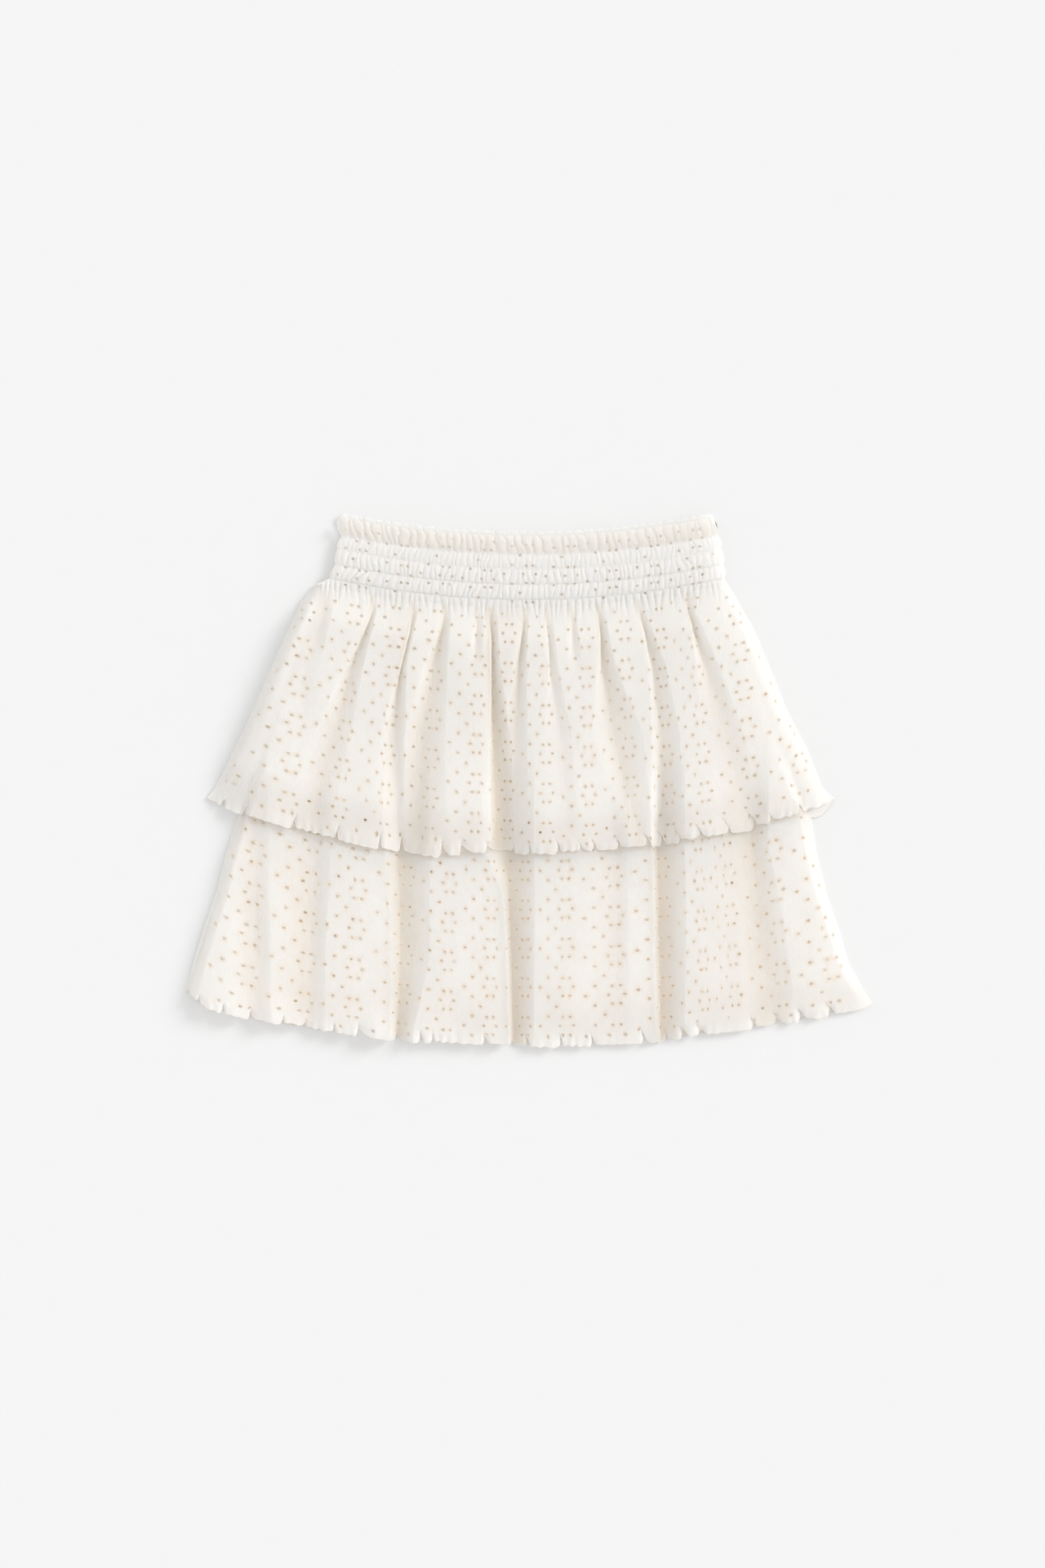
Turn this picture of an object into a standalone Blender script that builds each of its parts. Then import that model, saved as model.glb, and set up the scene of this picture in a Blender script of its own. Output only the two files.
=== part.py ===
"""A child's tiered ruffle skirt, laid flat on its back with its front up.

Two gathered tiers hang from one shirred waistband with a frill heading. Every piece is a wall of cloth. From
the surface up they lie in this order: back upper tier, back lower tier, front lower tier, front upper tier, with
the two halves of the waistband above their seam. Between valleys the front tiers stand a little off what they
lie on, and their lettuce hems rise and fall in waves.

+X runs to the right, +Y towards the waist and +Z up from the surface. Sizes are in millimetres, and become
metres when a mesh is made.
"""

from collections import namedtuple

import bmesh
import bpy
import numpy as np

MM = 0.001

# Cloth
WALL = 1.4                  # wall of a tier
GAP = 0.3                   # between two pieces that touch
LAYER = WALL + GAP          # from one layer of cloth to the next
HEM_SWELL = 1.35            # rolled edge, in walls
STEEPEST = 2.0              # most that a steep stretch counts in the wall's height
SLOPE_REACH = 1.0           # a slope is measured this far to each side
SHARP_EDGE = np.radians(60.0)

# The waist seam is a shallow arc
SEAM_MIDDLE = 115.5
SEAM_RISE = 16.0
SEAM_CENTRE = -5.0
SEAM_HALF = 138.0
SEAM_SIDE = SEAM_MIDDLE + SEAM_RISE

# Hems: height of the arc at the middle, its rise at the sides, and the turned-up tip of the left corner
Hem = namedtuple("Hem", "middle rise tip")
UPPER_HEM = Hem(-49.0, 36.0, 0.0)
LOWER_HEM = Hem(-178.0, 27.0, 8.0)
TIP_POWER = 24
BACK_INSET = 2.0            # a back hem ends this far inside the front one

# Side seams of the tiers, from the waist down
Side = namedtuple("Side", "y left right")
UPPER_SIDES = (
    Side(131.5, -143.5, 133.5),
    Side(120.0, -153.7, 140.5),
    Side(100.0, -163.0, 151.5),
    Side(73.7, -174.6, 162.5),
    Side(47.3, -186.0, 173.0),
    Side(21.0, -198.3, 186.7),
    Side(-5.5, -211.5, 197.2),
    Side(-13.0, -217.0, 205.5),
)
LOWER_SIDES = (
    Side(131.5, -136.0, 126.0),
    Side(100.0, -151.0, 139.0),
    Side(50.0, -170.0, 158.0),
    Side(0.0, -187.0, 178.0),
    Side(-25.0, -195.5, 189.0),
    Side(-52.0, -204.0, 193.5),
    Side(-78.0, -210.0, 200.0),
    Side(-104.0, -218.6, 209.0),
    Side(-124.0, -224.5, 214.8),
    Side(-137.0, -228.0, 222.0),
    Side(-151.0, -231.0, 230.7),
)
SHELF_SIDE = -21.5          # the upper hem's height where it crosses the lower tier's sides

# How the front tiers stand off what they lie on
UPPER_LOFT = 5.5            # upper tier, near the waist
UPPER_LOFT_LOW = 2.6        # upper tier, over the lower tier's own loft
LOWER_LOFT_HIDDEN = 1.0     # lower tier, under the upper one
LOWER_LOFT = 6.5            # lower tier, where it shows
LOFT_CHANGE = (35.0, -25.0)     # heights between which the lower tier fills out
SIDE_RUN = 15.0             # a front tier rounds down to its side seam over this width
TOP_RUN = 13.0              # and rises from the waist seam over this length
HEM_RUN = 20.0              # the hem's waves die out over this length
SCALLOP = 2.6               # depth of a hem wave in the plane of the cloth
STEP_RUN = 7.0              # the lower tiers step down past the back upper hem over this length
CLEAR = 2.0                 # the front upper tier starts down this far outside the lower one
FACET_CLEAR = 0.8           # extra room between curved layers

# Folds: where the valley lies at three heights, its depth there as a share of the loft, and the width of the
# steep left wall and of the gentle right slope. A depth below 0 is a ridge.
Fold = namedtuple("Fold", "x_top x_mid x_low depth_top depth_mid depth_low left right")
UPPER_STATIONS = (112.0, 35.0, -47.0)
UPPER_FOLDS = (
    Fold(-135.0, -150.0, -160.0, 0.45, 0.10, 0.00, 4.0, 8.0),
    Fold(-104.0, -130.0, -147.0, 0.85, 0.45, 0.15, 4.0, 10.0),
    Fold(-76.5, -88.8, -90.0, 0.70, 0.55, 0.25, 3.5, 7.0),
    Fold(-55.0, -70.5, -72.5, 0.75, 0.80, 0.85, 4.0, 13.0),
    Fold(-33.5, -39.0, -42.0, 0.40, 0.05, 0.00, 3.5, 6.0),
    Fold(-24.5, -25.8, -25.0, 0.90, 0.97, 0.97, 4.0, 12.0),
    Fold(-2.0, -7.5, -9.0, 0.65, 0.40, 0.15, 3.5, 7.0),
    Fold(12.0, 20.0, 28.0, 0.50, 0.20, 0.05, 3.5, 8.0),
    Fold(29.0, 31.0, 34.0, 0.40, 0.05, 0.00, 3.5, 6.0),
    Fold(47.5, 57.0, 76.0, 0.85, 0.65, 0.80, 4.0, 10.0),
    Fold(74.5, 88.0, 90.5, 0.70, 0.80, 0.85, 4.0, 12.0),
    Fold(107.5, 134.0, 149.0, 0.75, 0.55, 0.60, 4.0, 10.0),
)
LOWER_STATIONS = (-20.0, -105.0, -168.0)
LOWER_FOLDS = (
    Fold(-181.0, -181.0, -182.0, 0.25, 0.35, 0.30, 4.0, 8.0),
    Fold(-140.0, -143.0, -146.0, 0.30, 0.55, 0.40, 4.0, 10.0),
    Fold(-84.0, -84.0, -88.0, 0.80, 0.80, 0.70, 5.0, 14.0),
    Fold(-12.5, -10.0, -8.5, 0.95, 0.97, 0.97, 4.5, 11.0),
    Fold(57.0, 60.0, 62.0, 0.30, 0.30, 0.10, 3.5, 8.0),
    Fold(87.0, 88.5, 90.0, 0.92, 0.92, 0.92, 4.0, 12.0),
    Fold(130.0, 133.0, 134.0, -0.15, -0.20, -0.10, 7.0, 7.0),
    Fold(150.0, 162.0, 172.0, 0.65, 0.62, 0.50, 4.0, 12.0),
)
FOLD_FADE = (45.0, 0.0)     # heights between which the lower tier's folds come in

# Hem waves: x of the notch at a wave's right end, and how high its crest lifts
Wave = namedtuple("Wave", "notch lift")
UPPER_WAVES = (
    Wave(-191.7, 2.2), Wave(-158.7, 2.8), Wave(-128.4, 3.4), Wave(-99.6, 3.2), Wave(-84.0, 3.0),
    Wave(-56.9, 3.0), Wave(-37.7, 3.6), Wave(-28.0, 3.2), Wave(-0.6, 3.2), Wave(19.0, 3.8),
    Wave(44.5, 3.4), Wave(60.3, 3.4), Wave(80.0, 3.6), Wave(101.2, 3.2), Wave(116.5, 3.4),
    Wave(133.0, 3.2), Wave(152.0, 3.4), Wave(181.0, 3.0), Wave(205.5, 2.4),
)
LOWER_WAVES = (
    Wave(-219.5, 2.6), Wave(-203.5, 3.8), Wave(-183.0, 3.8), Wave(-165.0, 4.2), Wave(-147.0, 4.2),
    Wave(-128.4, 4.2), Wave(-113.5, 4.4), Wave(-90.5, 4.2), Wave(-74.5, 3.8), Wave(-55.0, 4.0),
    Wave(-30.0, 4.6), Wave(-10.0, 4.4), Wave(22.8, 4.6), Wave(42.1, 4.4), Wave(76.5, 4.6),
    Wave(92.0, 4.0), Wave(114.0, 4.2), Wave(132.0, 4.2), Wave(150.5, 4.2), Wave(167.0, 4.2),
    Wave(184.0, 4.0), Wave(202.0, 3.4), Wave(230.7, 2.2),
)
CREST_LEAN = 1.5            # above 1 the crest leans to the right
CREST_POWER = 0.6           # below 1 the notches are sharp and the crests round

# Rows of points, as shares of a tier's length. A lower tier counts to 1 at the upper hem and to 2 at its own.
UPPER_ROWS = (0.0, 0.03, 0.09, 0.22, 0.42, 0.62, 0.79, 0.88, 0.93, 0.965, 0.99, 1.0)
UPPER_BACK_ROWS = (0.0, 0.3, 0.6, 0.9, 1.0)
LOWER_ROWS = (0.0, 0.05, 0.45, 0.8, 1.0, 1.055, 1.28, 1.55, 1.8, 1.89, 1.945, 1.985, 2.0)
LOWER_BACK_ROWS = (0.0, 0.5, 1.0, 1.055, 1.4, 1.8, 2.0)
COLUMN_PITCH = 4.6          # columns of a front tier, at the hem
BACK_STEPS = 3              # columns to a wave of a back tier

# Waistband rows from the frill's edge to the waist seam: height of the arc at the middle, its rise at the
# sides, half its width and the x of its middle, how high the outer face stands there, the height of its
# gathers, and how far the gathers shift from row to row, in ribs.
BandRow = namedtuple("BandRow", "name y rise half centre height rib shift")
FRONT_BAND = (
    BandRow("frill_edge", 162.5, 13.0, 124.6, -2.3, 2.0, 1.1, 0.00),
    BandRow("frill", 157.0, 12.8, 125.8, -2.2, 2.7, 1.1, 0.00),
    BandRow("line_1", 150.7, 12.5, 126.2, 0.2, 1.6, 0.3, 0.25),
    BandRow("channel_1", 145.8, 13.2, 129.0, -0.7, 3.5, 0.7, 0.50),
    BandRow("line_2", 140.8, 14.0, 128.9, -0.3, 1.6, 0.3, 0.25),
    BandRow("channel_2", 135.6, 13.8, 130.6, -0.7, 3.8, 0.9, 0.00),
    BandRow("line_3", 130.5, 13.5, 130.3, -0.3, 1.7, 0.3, 0.25),
    BandRow("channel_3", 125.5, 14.0, 131.8, -1.2, 3.8, 0.9, 0.50),
    BandRow("line_4", 120.5, 14.5, 132.6, -1.6, 1.8, 0.3, 0.25),
    BandRow("roll", 118.0, 15.3, 135.4, -3.2, 3.4, 0.5, 0.00),
    BandRow("seam", SEAM_MIDDLE, SEAM_RISE, SEAM_HALF, SEAM_CENTRE, LAYER + WALL, 0.0, 0.00),
)
BACK_BAND = (
    BandRow("edge", 166.0, 12.5, 125.0, -3.0, 1.9, 0.5, 0.00),
    BandRow("heading", 160.0, 12.6, 125.6, -2.6, 2.2, 0.5, 0.25),
    BandRow("covered", 150.7, 12.5, 126.2, 0.2, 2.6, 0.0, 0.00),
    BandRow("line_4", 120.5, 14.5, 132.6, -1.6, LAYER + WALL, 0.0, 0.00),
    BandRow("seam", SEAM_MIDDLE, SEAM_RISE, SEAM_HALF, SEAM_CENTRE, LAYER + WALL, 0.0, 0.00),
)
PLAIN_ROWS = ("frill_edge", "line_1", "channel_2", "seam")      # rows of the front half's plain inside
BACK_PLAIN_ROWS = ("edge", "line_4", "seam")                    # and of the back half's flat underside
BAND_CROWN = {"frill_edge": 1.3, "line_1": 0.9, "channel_2": 1.2, "seam": 0.0}
FRILL_WAVE = 1.0            # the frill's edge waves by this much, its inside too
FRILL_SCALLOP = 1.3         # its edge in the plane of the cloth, and half as much on the back half
THIN_EDGE = 1.2             # height of the waistband's outer face at the side seams
RIBS = 38                   # gathers across one half of the waistband
RIB_STEPS = 4               # columns to a gather
RIB_SEED = 5
RIB_WIDTHS = (0.75, 1.25)   # range of the gathers' widths, as shares of the mean
RIB_STRENGTHS = (0.65, 1.15)
RIB_FADE_POWER = 8          # the gathers die out near the side seams
FULL_POWER = 10             # and the waistband thins down to them

CREAM = (0.871, 0.835, 0.776, 1.0)
CREAM_SHADE = (0.836, 0.802, 0.745, 1.0)
CLOTH_ROUGHNESS = 0.93


def smooth(t):
    """Soft step from 0 to 1."""
    t = np.clip(t, 0.0, 1.0)
    return t * t * (3.0 - 2.0 * t)


def mix(a, b, t):
    """a at t = 0 and b at t = 1."""
    return a + (b - a) * t


def side_x(sides, y, column):
    """x of a tier's left or right side seam at height y."""
    heights = [side.y for side in reversed(sides)]
    places = [getattr(side, column) for side in reversed(sides)]
    return np.interp(y, heights, places)


def seam_y(x):
    """Height of the tiers' top edge, just below the waistband."""
    return SEAM_MIDDLE - GAP + SEAM_RISE * ((x - SEAM_CENTRE) / SEAM_HALF) ** 2


def top_x(sides, p):
    """x along a tier's top edge, p running from 0 at the left side to 1 at the right."""
    return mix(sides[0].left, sides[0].right, p)


def hem_y(hem, p):
    """Height of a hem's arc."""
    u = 2.0 * p - 1.0
    tip = hem.tip * np.where(u < 0.0, np.abs(u) ** TIP_POWER, 0.0)
    return hem.middle + hem.rise * u ** 2 + tip


def upper_hem_y(x):
    """Height of the upper hem's arc over the point x of the tier below."""
    left = UPPER_SIDES[-1].left
    right = UPPER_SIDES[-1].right
    return hem_y(UPPER_HEM, (x - left) / (right - left))


def upper_points(p, v):
    """x and y of the upper tier at p across and v down."""
    side_height = mix(SEAM_SIDE, UPPER_SIDES[-1].y, v)
    x = mix(side_x(UPPER_SIDES, side_height, "left"), side_x(UPPER_SIDES, side_height, "right"), p)
    return x, mix(seam_y(top_x(UPPER_SIDES, p)), hem_y(UPPER_HEM, p), v)


def lower_points(p, v):
    """x and y of the lower tier: v is 1 under the upper hem and 2 at its own hem."""
    shelf_x = mix(side_x(LOWER_SIDES, SHELF_SIDE, "left"), side_x(LOWER_SIDES, SHELF_SIDE, "right"), p)
    shelf_y = upper_hem_y(shelf_x)
    covered = mix(SEAM_SIDE, SHELF_SIDE, v)
    shown = mix(SHELF_SIDE, LOWER_SIDES[-1].y, v - 1.0)
    side_height = np.where(v < 1.0, covered, shown)
    x = mix(side_x(LOWER_SIDES, side_height, "left"), side_x(LOWER_SIDES, side_height, "right"), p)
    top_y = seam_y(top_x(LOWER_SIDES, p))
    y = np.where(v < 1.0, mix(top_y, shelf_y, v), mix(shelf_y, hem_y(LOWER_HEM, p), v - 1.0))
    return x, y


def from_edge(sides, x, y):
    """0 at a front tier's side seams, 1 where it has filled out."""
    inwards = np.minimum(x - side_x(sides, y, "left"), side_x(sides, y, "right") - x)
    return smooth(inwards / SIDE_RUN)


def from_waist(x, y):
    """0 at the waist seam, 1 where a front tier has filled out below it."""
    return smooth((seam_y(x) - y) / TOP_RUN)


def crown_share(folds, stations, x, y):
    """Share of the loft that the folds leave: 1 on a crown, near 0 in a deep valley."""
    down = [-station for station in stations]
    share = np.ones_like(x)
    for fold in folds:
        valley = np.interp(-y, down, (fold.x_top, fold.x_mid, fold.x_low))
        depth = np.interp(-y, down, (fold.depth_top, fold.depth_mid, fold.depth_low))
        away = x - valley
        width = np.where(away < 0.0, fold.left, fold.right)
        share = share * (1.0 - depth * np.exp(-(away / width) ** 2))
    return share


def fill_out(y):
    """0 where the upper tier hides the lower one, 1 where the lower tier stands at its full loft."""
    high, low = LOFT_CHANGE
    return smooth((high - y) / (high - low))


def back_lower_under(x, y):
    """Underside of the back lower tier: on the back upper tier, then on the surface past its hem."""
    return LAYER * smooth(1.0 - (upper_hem_y(x) - y) / STEP_RUN)


def front_lower_under(x, y, wave=0.0, near_hem=0.0):
    """Underside of the front lower tier."""
    high, low = FOLD_FADE
    shown = smooth((high - y) / (high - low))
    share = mix(1.0, crown_share(LOWER_FOLDS, LOWER_STATIONS, x, y), shown)
    loft = mix(mix(LOWER_LOFT_HIDDEN, LOWER_LOFT, fill_out(y)), wave, near_hem)
    free = from_edge(LOWER_SIDES, x, y) * from_waist(x, y)
    return back_lower_under(x, y) + LAYER + loft * share * free


def front_lower_top(x, y):
    """Outer face of the front lower tier where the upper tier covers it."""
    rise = front_lower_under(x + SLOPE_REACH, y) - front_lower_under(x - SLOPE_REACH, y)
    slope = rise / (2.0 * SLOPE_REACH)
    return front_lower_under(x, y) + WALL * np.minimum(np.hypot(1.0, slope), STEEPEST)


def under_upper(x, y):
    """What the front upper tier lies on: the lower tier, and the back upper tier past its sides."""
    inner_left = side_x(LOWER_SIDES, y, "left")
    inner_right = side_x(LOWER_SIDES, y, "right")
    outer_left = side_x(UPPER_SIDES, y, "left")
    outer_right = side_x(UPPER_SIDES, y, "right")
    left_share = (x - outer_left) / (inner_left - CLEAR - outer_left)
    right_share = (outer_right - x) / (outer_right - inner_right - CLEAR)
    covered = front_lower_top(np.clip(x, inner_left, inner_right), y) + GAP
    covered = covered + FACET_CLEAR * from_waist(x, y)
    return mix(LAYER, covered, smooth(np.minimum(left_share, right_share)))


def front_upper_under(x, y, wave, near_hem):
    """Underside of the front upper tier."""
    share = crown_share(UPPER_FOLDS, UPPER_STATIONS, x, y)
    loft = mix(mix(UPPER_LOFT, UPPER_LOFT_LOW, fill_out(y)), wave, near_hem)
    free = from_edge(UPPER_SIDES, x, y) * from_waist(x, y)
    return under_upper(x, y) + loft * share * free


def crest(t):
    """Form of one hem wave from notch to notch."""
    return np.sin(np.pi * t ** CREST_LEAN) ** CREST_POWER


def wave_columns(waves, left, pitch=None):
    """Columns across a tier, one on each notch: p from 0 to 1, each wave's lift there, and its form."""
    width = waves[-1].notch - left
    places, lifts, forms = [], [], []
    start = left
    for wave in waves:
        steps = BACK_STEPS
        if pitch:
            steps = max(3, round((wave.notch - start) / pitch))
        for step in range(steps):
            t = step / steps
            places.append((mix(start, wave.notch, t) - left) / width)
            lifts.append(wave.lift * crest(t))
            forms.append(crest(t))
        start = wave.notch
    places.append(1.0)
    lifts.append(0.0)
    forms.append(0.0)
    return np.array(places), np.array(lifts), np.array(forms)


def wall_height(x, under):
    """Height of a wall of even thickness over its underside, with a rolled hem in the last row."""
    slope = np.gradient(under, axis=1) / np.gradient(x, axis=1)
    height = WALL * np.minimum(np.hypot(1.0, slope), STEEPEST)
    height[-1] *= HEM_SWELL
    return height


def stack(x, y, z):
    """Points of a grid, rows down and columns across."""
    return np.stack((x, y, z), axis=-1)


def front_tier(points, under, rows, waves, sides, hem):
    """Outer and inner points of a front tier, with its folds and its lettuce hem."""
    places, lifts, forms = wave_columns(waves, sides[-1].left, COLUMN_PITCH)
    p, v = np.meshgrid(places, np.array(rows))
    x, y = points(p, v)
    to_hem = y - hem_y(hem, p)
    near_hem = smooth(1.0 - to_hem / HEM_RUN)
    z = under(x, y, lifts[None, :], near_hem)
    y = y - SCALLOP * (forms[None, :] - 0.5) * near_hem ** 2 * from_edge(sides, x, y)
    return stack(x, y, z + wall_height(x, z)), stack(x, y, z)


def back_tier(points, under, rows, waves, sides):
    """Outer and inner points of a back tier, which lies flat."""
    places, _, forms = wave_columns(waves, sides[-1].left)
    p, v = np.meshgrid(places, np.array(rows))
    x, y = points(p, v)
    z = under(x, y)
    last = np.zeros_like(y)
    last[-1] = 1.0
    y = y + last * (BACK_INSET - 0.5 * SCALLOP * forms[None, :])
    return stack(x, y, z + WALL), stack(x, y, z)


def on_the_surface(x, y):
    """Underside of the back upper tier."""
    return np.zeros_like(x)


def gather_columns():
    """Uneven gathers across the waistband: u from -1 to 1, the phase of each column and its strength."""
    dice = np.random.default_rng(RIB_SEED)
    widths = dice.uniform(*RIB_WIDTHS, RIBS)
    edges = np.concatenate(([0.0], np.cumsum(widths))) / widths.sum()
    count = RIBS * RIB_STEPS + 1
    phase = np.arange(count) / RIB_STEPS
    strength = np.interp(phase, np.arange(RIBS + 1), dice.uniform(*RIB_STRENGTHS, RIBS + 1))
    return 2.0 * np.interp(phase, np.arange(RIBS + 1), edges) - 1.0, phase, strength


def band_row(row, u, phase, strength):
    """x, y and the gathers' height along one row of the waistband."""
    gather = np.cos(2.0 * np.pi * (phase + row.shift)) * strength * (1.0 - u ** RIB_FADE_POWER)
    x = row.centre + row.half * u
    y = row.y + row.rise * u ** 2
    return x, y, gather


def band_front():
    """Outer and inner points of the waistband's front half, raised in gathers over a plain inside."""
    u, phase, strength = gather_columns()
    full = 1.0 - u ** FULL_POWER
    names = [row.name for row in FRONT_BAND]
    plain_at = [names.index(name) for name in PLAIN_ROWS]
    crowns = np.interp(range(len(names)), plain_at, [BAND_CROWN[name] for name in PLAIN_ROWS])
    outer, inner = [], []
    for row, crown in zip(FRONT_BAND, crowns):
        x, y, gather = band_row(row, u, phase, strength)
        inside = 2.0 * LAYER + crown * full
        if row.name == "frill_edge":
            y = y + FRILL_SCALLOP * gather
            inside = inside + FRILL_WAVE * gather
        height = mix(THIN_EDGE, row.height, full) + row.rib * gather
        outer.append(np.column_stack((x, y, inside + height)))
        if row.name in PLAIN_ROWS:
            inner.append(np.column_stack((x, y, inside)))
    return np.array(outer), np.array(inner)


def band_back():
    """Outer and inner points of the waistband's back half: its heading shows past the front frill."""
    u, phase, strength = gather_columns()
    outer, inner = [], []
    for row in BACK_BAND:
        x, y, gather = band_row(row, u, phase, strength)
        if row.name == "edge":
            y = y + FRILL_SCALLOP * gather * 0.5
        outer.append(np.column_stack((x, y, row.height + row.rib * gather)))
        if row.name in BACK_PLAIN_ROWS:
            inner.append(np.column_stack((x, y, np.zeros_like(x))))
    return np.array(outer), np.array(inner)


def cloth_material(name, colour):
    """Matt cream cloth."""
    material = bpy.data.materials.new(name)
    material.use_nodes = True
    shader = material.node_tree.nodes["Principled BSDF"]
    shader.inputs["Base Color"].default_value = colour
    shader.inputs["Roughness"].default_value = CLOTH_ROUGHNESS
    shader.inputs["Metallic"].default_value = 0.0
    return material


def grid_faces(first, rows, columns, upwards):
    """Quads of a grid of points whose first index is given."""
    faces = []
    for row in range(rows - 1):
        for column in range(columns - 1):
            a = first + row * columns + column
            face = (a, a + columns, a + columns + 1, a + 1)
            faces.append(face if upwards else face[::-1])
    return faces


def ladder(one, two):
    """Triangles between two lines of points that run side by side, with different numbers of points."""
    faces = []
    i = j = 0
    while i < len(one) - 1 or j < len(two) - 1:
        step_one = (i + 1) / (len(one) - 1) <= (j + 1) / (len(two) - 1)
        if j == len(two) - 1 or (step_one and i < len(one) - 1):
            faces.append((one[i], one[i + 1], two[j]))
            i += 1
        else:
            faces.append((one[i], two[j + 1], two[j]))
            j += 1
    return faces


def wall_object(name, outer, inner, material, parent):
    """One closed piece of cloth between its outer and its inner points."""
    rows, columns = outer.shape[:2]
    inner_rows = inner.shape[0]
    first = rows * columns
    faces = grid_faces(0, rows, columns, True) + grid_faces(first, inner_rows, columns, False)
    for out_row, in_row in ((0, 0), (rows - 1, inner_rows - 1)):
        for column in range(columns - 1):
            a = out_row * columns + column
            b = first + in_row * columns + column
            faces.append((a, a + 1, b + 1, b))
    for column in (0, columns - 1):
        out_side = [row * columns + column for row in range(rows)]
        in_side = [first + row * columns + column for row in range(inner_rows)]
        faces += ladder(out_side, in_side)

    points = np.concatenate((outer.reshape(-1, 3), inner.reshape(-1, 3))) * MM
    mesh = bpy.data.meshes.new(name)
    mesh.from_pydata(points.tolist(), [], faces)
    shell = bmesh.new()
    shell.from_mesh(mesh)
    bmesh.ops.triangulate(shell, faces=shell.faces[:])
    bmesh.ops.recalc_face_normals(shell, faces=shell.faces[:])
    shell.to_mesh(mesh)
    shell.free()
    mesh.shade_smooth()
    mesh.set_sharp_from_angle(angle=SHARP_EDGE)
    mesh.materials.append(material)
    piece = bpy.data.objects.new(name, mesh)
    bpy.context.scene.collection.objects.link(piece)
    piece.parent = parent
    return piece


def build_skirt():
    """All six pieces, on one empty at the middle of what they lie on."""
    for old in list(bpy.data.objects):
        bpy.data.objects.remove(old, do_unlink=True)
    skirt = bpy.data.objects.new("skirt", None)
    bpy.context.scene.collection.objects.link(skirt)

    walls = {
        "waistband_front": band_front(),
        "waistband_back": band_back(),
        "upper_tier_front": front_tier(
            upper_points, front_upper_under, UPPER_ROWS, UPPER_WAVES, UPPER_SIDES, UPPER_HEM),
        "upper_tier_back": back_tier(
            upper_points, on_the_surface, UPPER_BACK_ROWS, UPPER_WAVES, UPPER_SIDES),
        "lower_tier_front": front_tier(
            lower_points, front_lower_under, LOWER_ROWS, LOWER_WAVES, LOWER_SIDES, LOWER_HEM),
        "lower_tier_back": back_tier(
            lower_points, back_lower_under, LOWER_BACK_ROWS, LOWER_WAVES, LOWER_SIDES),
    }
    for name, (outer, inner) in walls.items():
        colour = CREAM_SHADE if name.endswith("back") else CREAM
        wall_object(name, outer, inner, cloth_material(name + "_cloth", colour), skirt)


build_skirt()
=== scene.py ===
# %% [markdown]
# # A tiered ruffle skirt, laid flat
#
# The real thing is a child's pull-on skirt in cream eyelet jersey. Two gathered tiers hang from a
# waistband that is shirred with elastic thread, and the tiers' raw edges are stretched as they are
# overlocked, so they ripple like a lettuce leaf. It lies on a pale table with its front up.
#
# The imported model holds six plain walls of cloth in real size. This script loads them as a fixed frame and
# dresses each with thin cloth that has true eyelet holes, fine folds, a rolled hem and a knitted surface.

# %% Load the frame
from collections import namedtuple

import bpy
import numpy as np
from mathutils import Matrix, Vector
from mathutils.geometry import delaunay_2d_cdt


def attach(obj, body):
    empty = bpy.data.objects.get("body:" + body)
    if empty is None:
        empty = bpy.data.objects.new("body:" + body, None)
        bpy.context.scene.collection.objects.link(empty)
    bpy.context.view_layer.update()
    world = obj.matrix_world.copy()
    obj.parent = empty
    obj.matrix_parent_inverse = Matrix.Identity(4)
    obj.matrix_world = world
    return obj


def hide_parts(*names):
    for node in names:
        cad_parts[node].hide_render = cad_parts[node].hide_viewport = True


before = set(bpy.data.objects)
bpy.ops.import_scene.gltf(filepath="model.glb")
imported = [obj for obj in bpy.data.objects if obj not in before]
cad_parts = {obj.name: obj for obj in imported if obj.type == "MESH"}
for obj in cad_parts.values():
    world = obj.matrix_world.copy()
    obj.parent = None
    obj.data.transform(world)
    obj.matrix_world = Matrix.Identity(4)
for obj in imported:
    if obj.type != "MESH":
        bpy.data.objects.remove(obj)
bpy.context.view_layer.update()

MM = 0.001
TURN = 2.0 * np.pi
print("nodes:", ", ".join(sorted(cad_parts)))

# %% [markdown]
# ## Sizes
#
# A garment is drafted from a few lines: the waist seam, the side seams and the hems. All are shallow arcs
# or straight runs, so short tables with named columns hold them. +X is to the right, +Y towards the waist
# and +Z up from the table. Everything is in millimetres until a mesh is made.

# %% Lines of the pattern
def table_of(kind, rows):
    """A table whose rows have named columns."""
    return tuple(kind(*row) for row in rows)


SEAM_MIDDLE, SEAM_RISE, SEAM_CENTRE, SEAM_HALF = 115.5, 16.0, -5.0, 138.0
SEAM_SIDE = SEAM_MIDDLE + SEAM_RISE

Hem = namedtuple("Hem", "middle rise tip")
UPPER_HEM = Hem(-49.0, 36.0, 0.0)
LOWER_HEM = Hem(-178.0, 27.0, 8.0)
TIP_POWER = 24  # a high power keeps the tip to the hem's left end

Side = namedtuple("Side", "y left right")
UPPER_SIDES = table_of(Side, (
    (131.5, -143.5, 133.5), (120, -153.7, 140.5), (100, -163, 151.5), (73.7, -174.6, 162.5),
    (47.3, -186, 173), (21, -198.3, 186.7), (-5.5, -211.5, 197.2), (-13, -217, 205.5),
))
LOWER_SIDES = table_of(Side, (
    (131.5, -136, 126), (100, -151, 139), (50, -170, 158), (0, -187, 178), (-25, -195.5, 189),
    (-52, -204, 193.5), (-78, -210, 200), (-104, -218.6, 209), (-124, -224.5, 214.8), (-137, -228, 222),
    (-151, -231, 230.7),
))
SHELF_SIDE = -21.5  # the upper hem's height where it crosses the lower tier's sides
print("waist seam", 2 * SEAM_HALF, "mm wide, hem", LOWER_SIDES[-1].right - LOWER_SIDES[-1].left, "mm")

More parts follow.
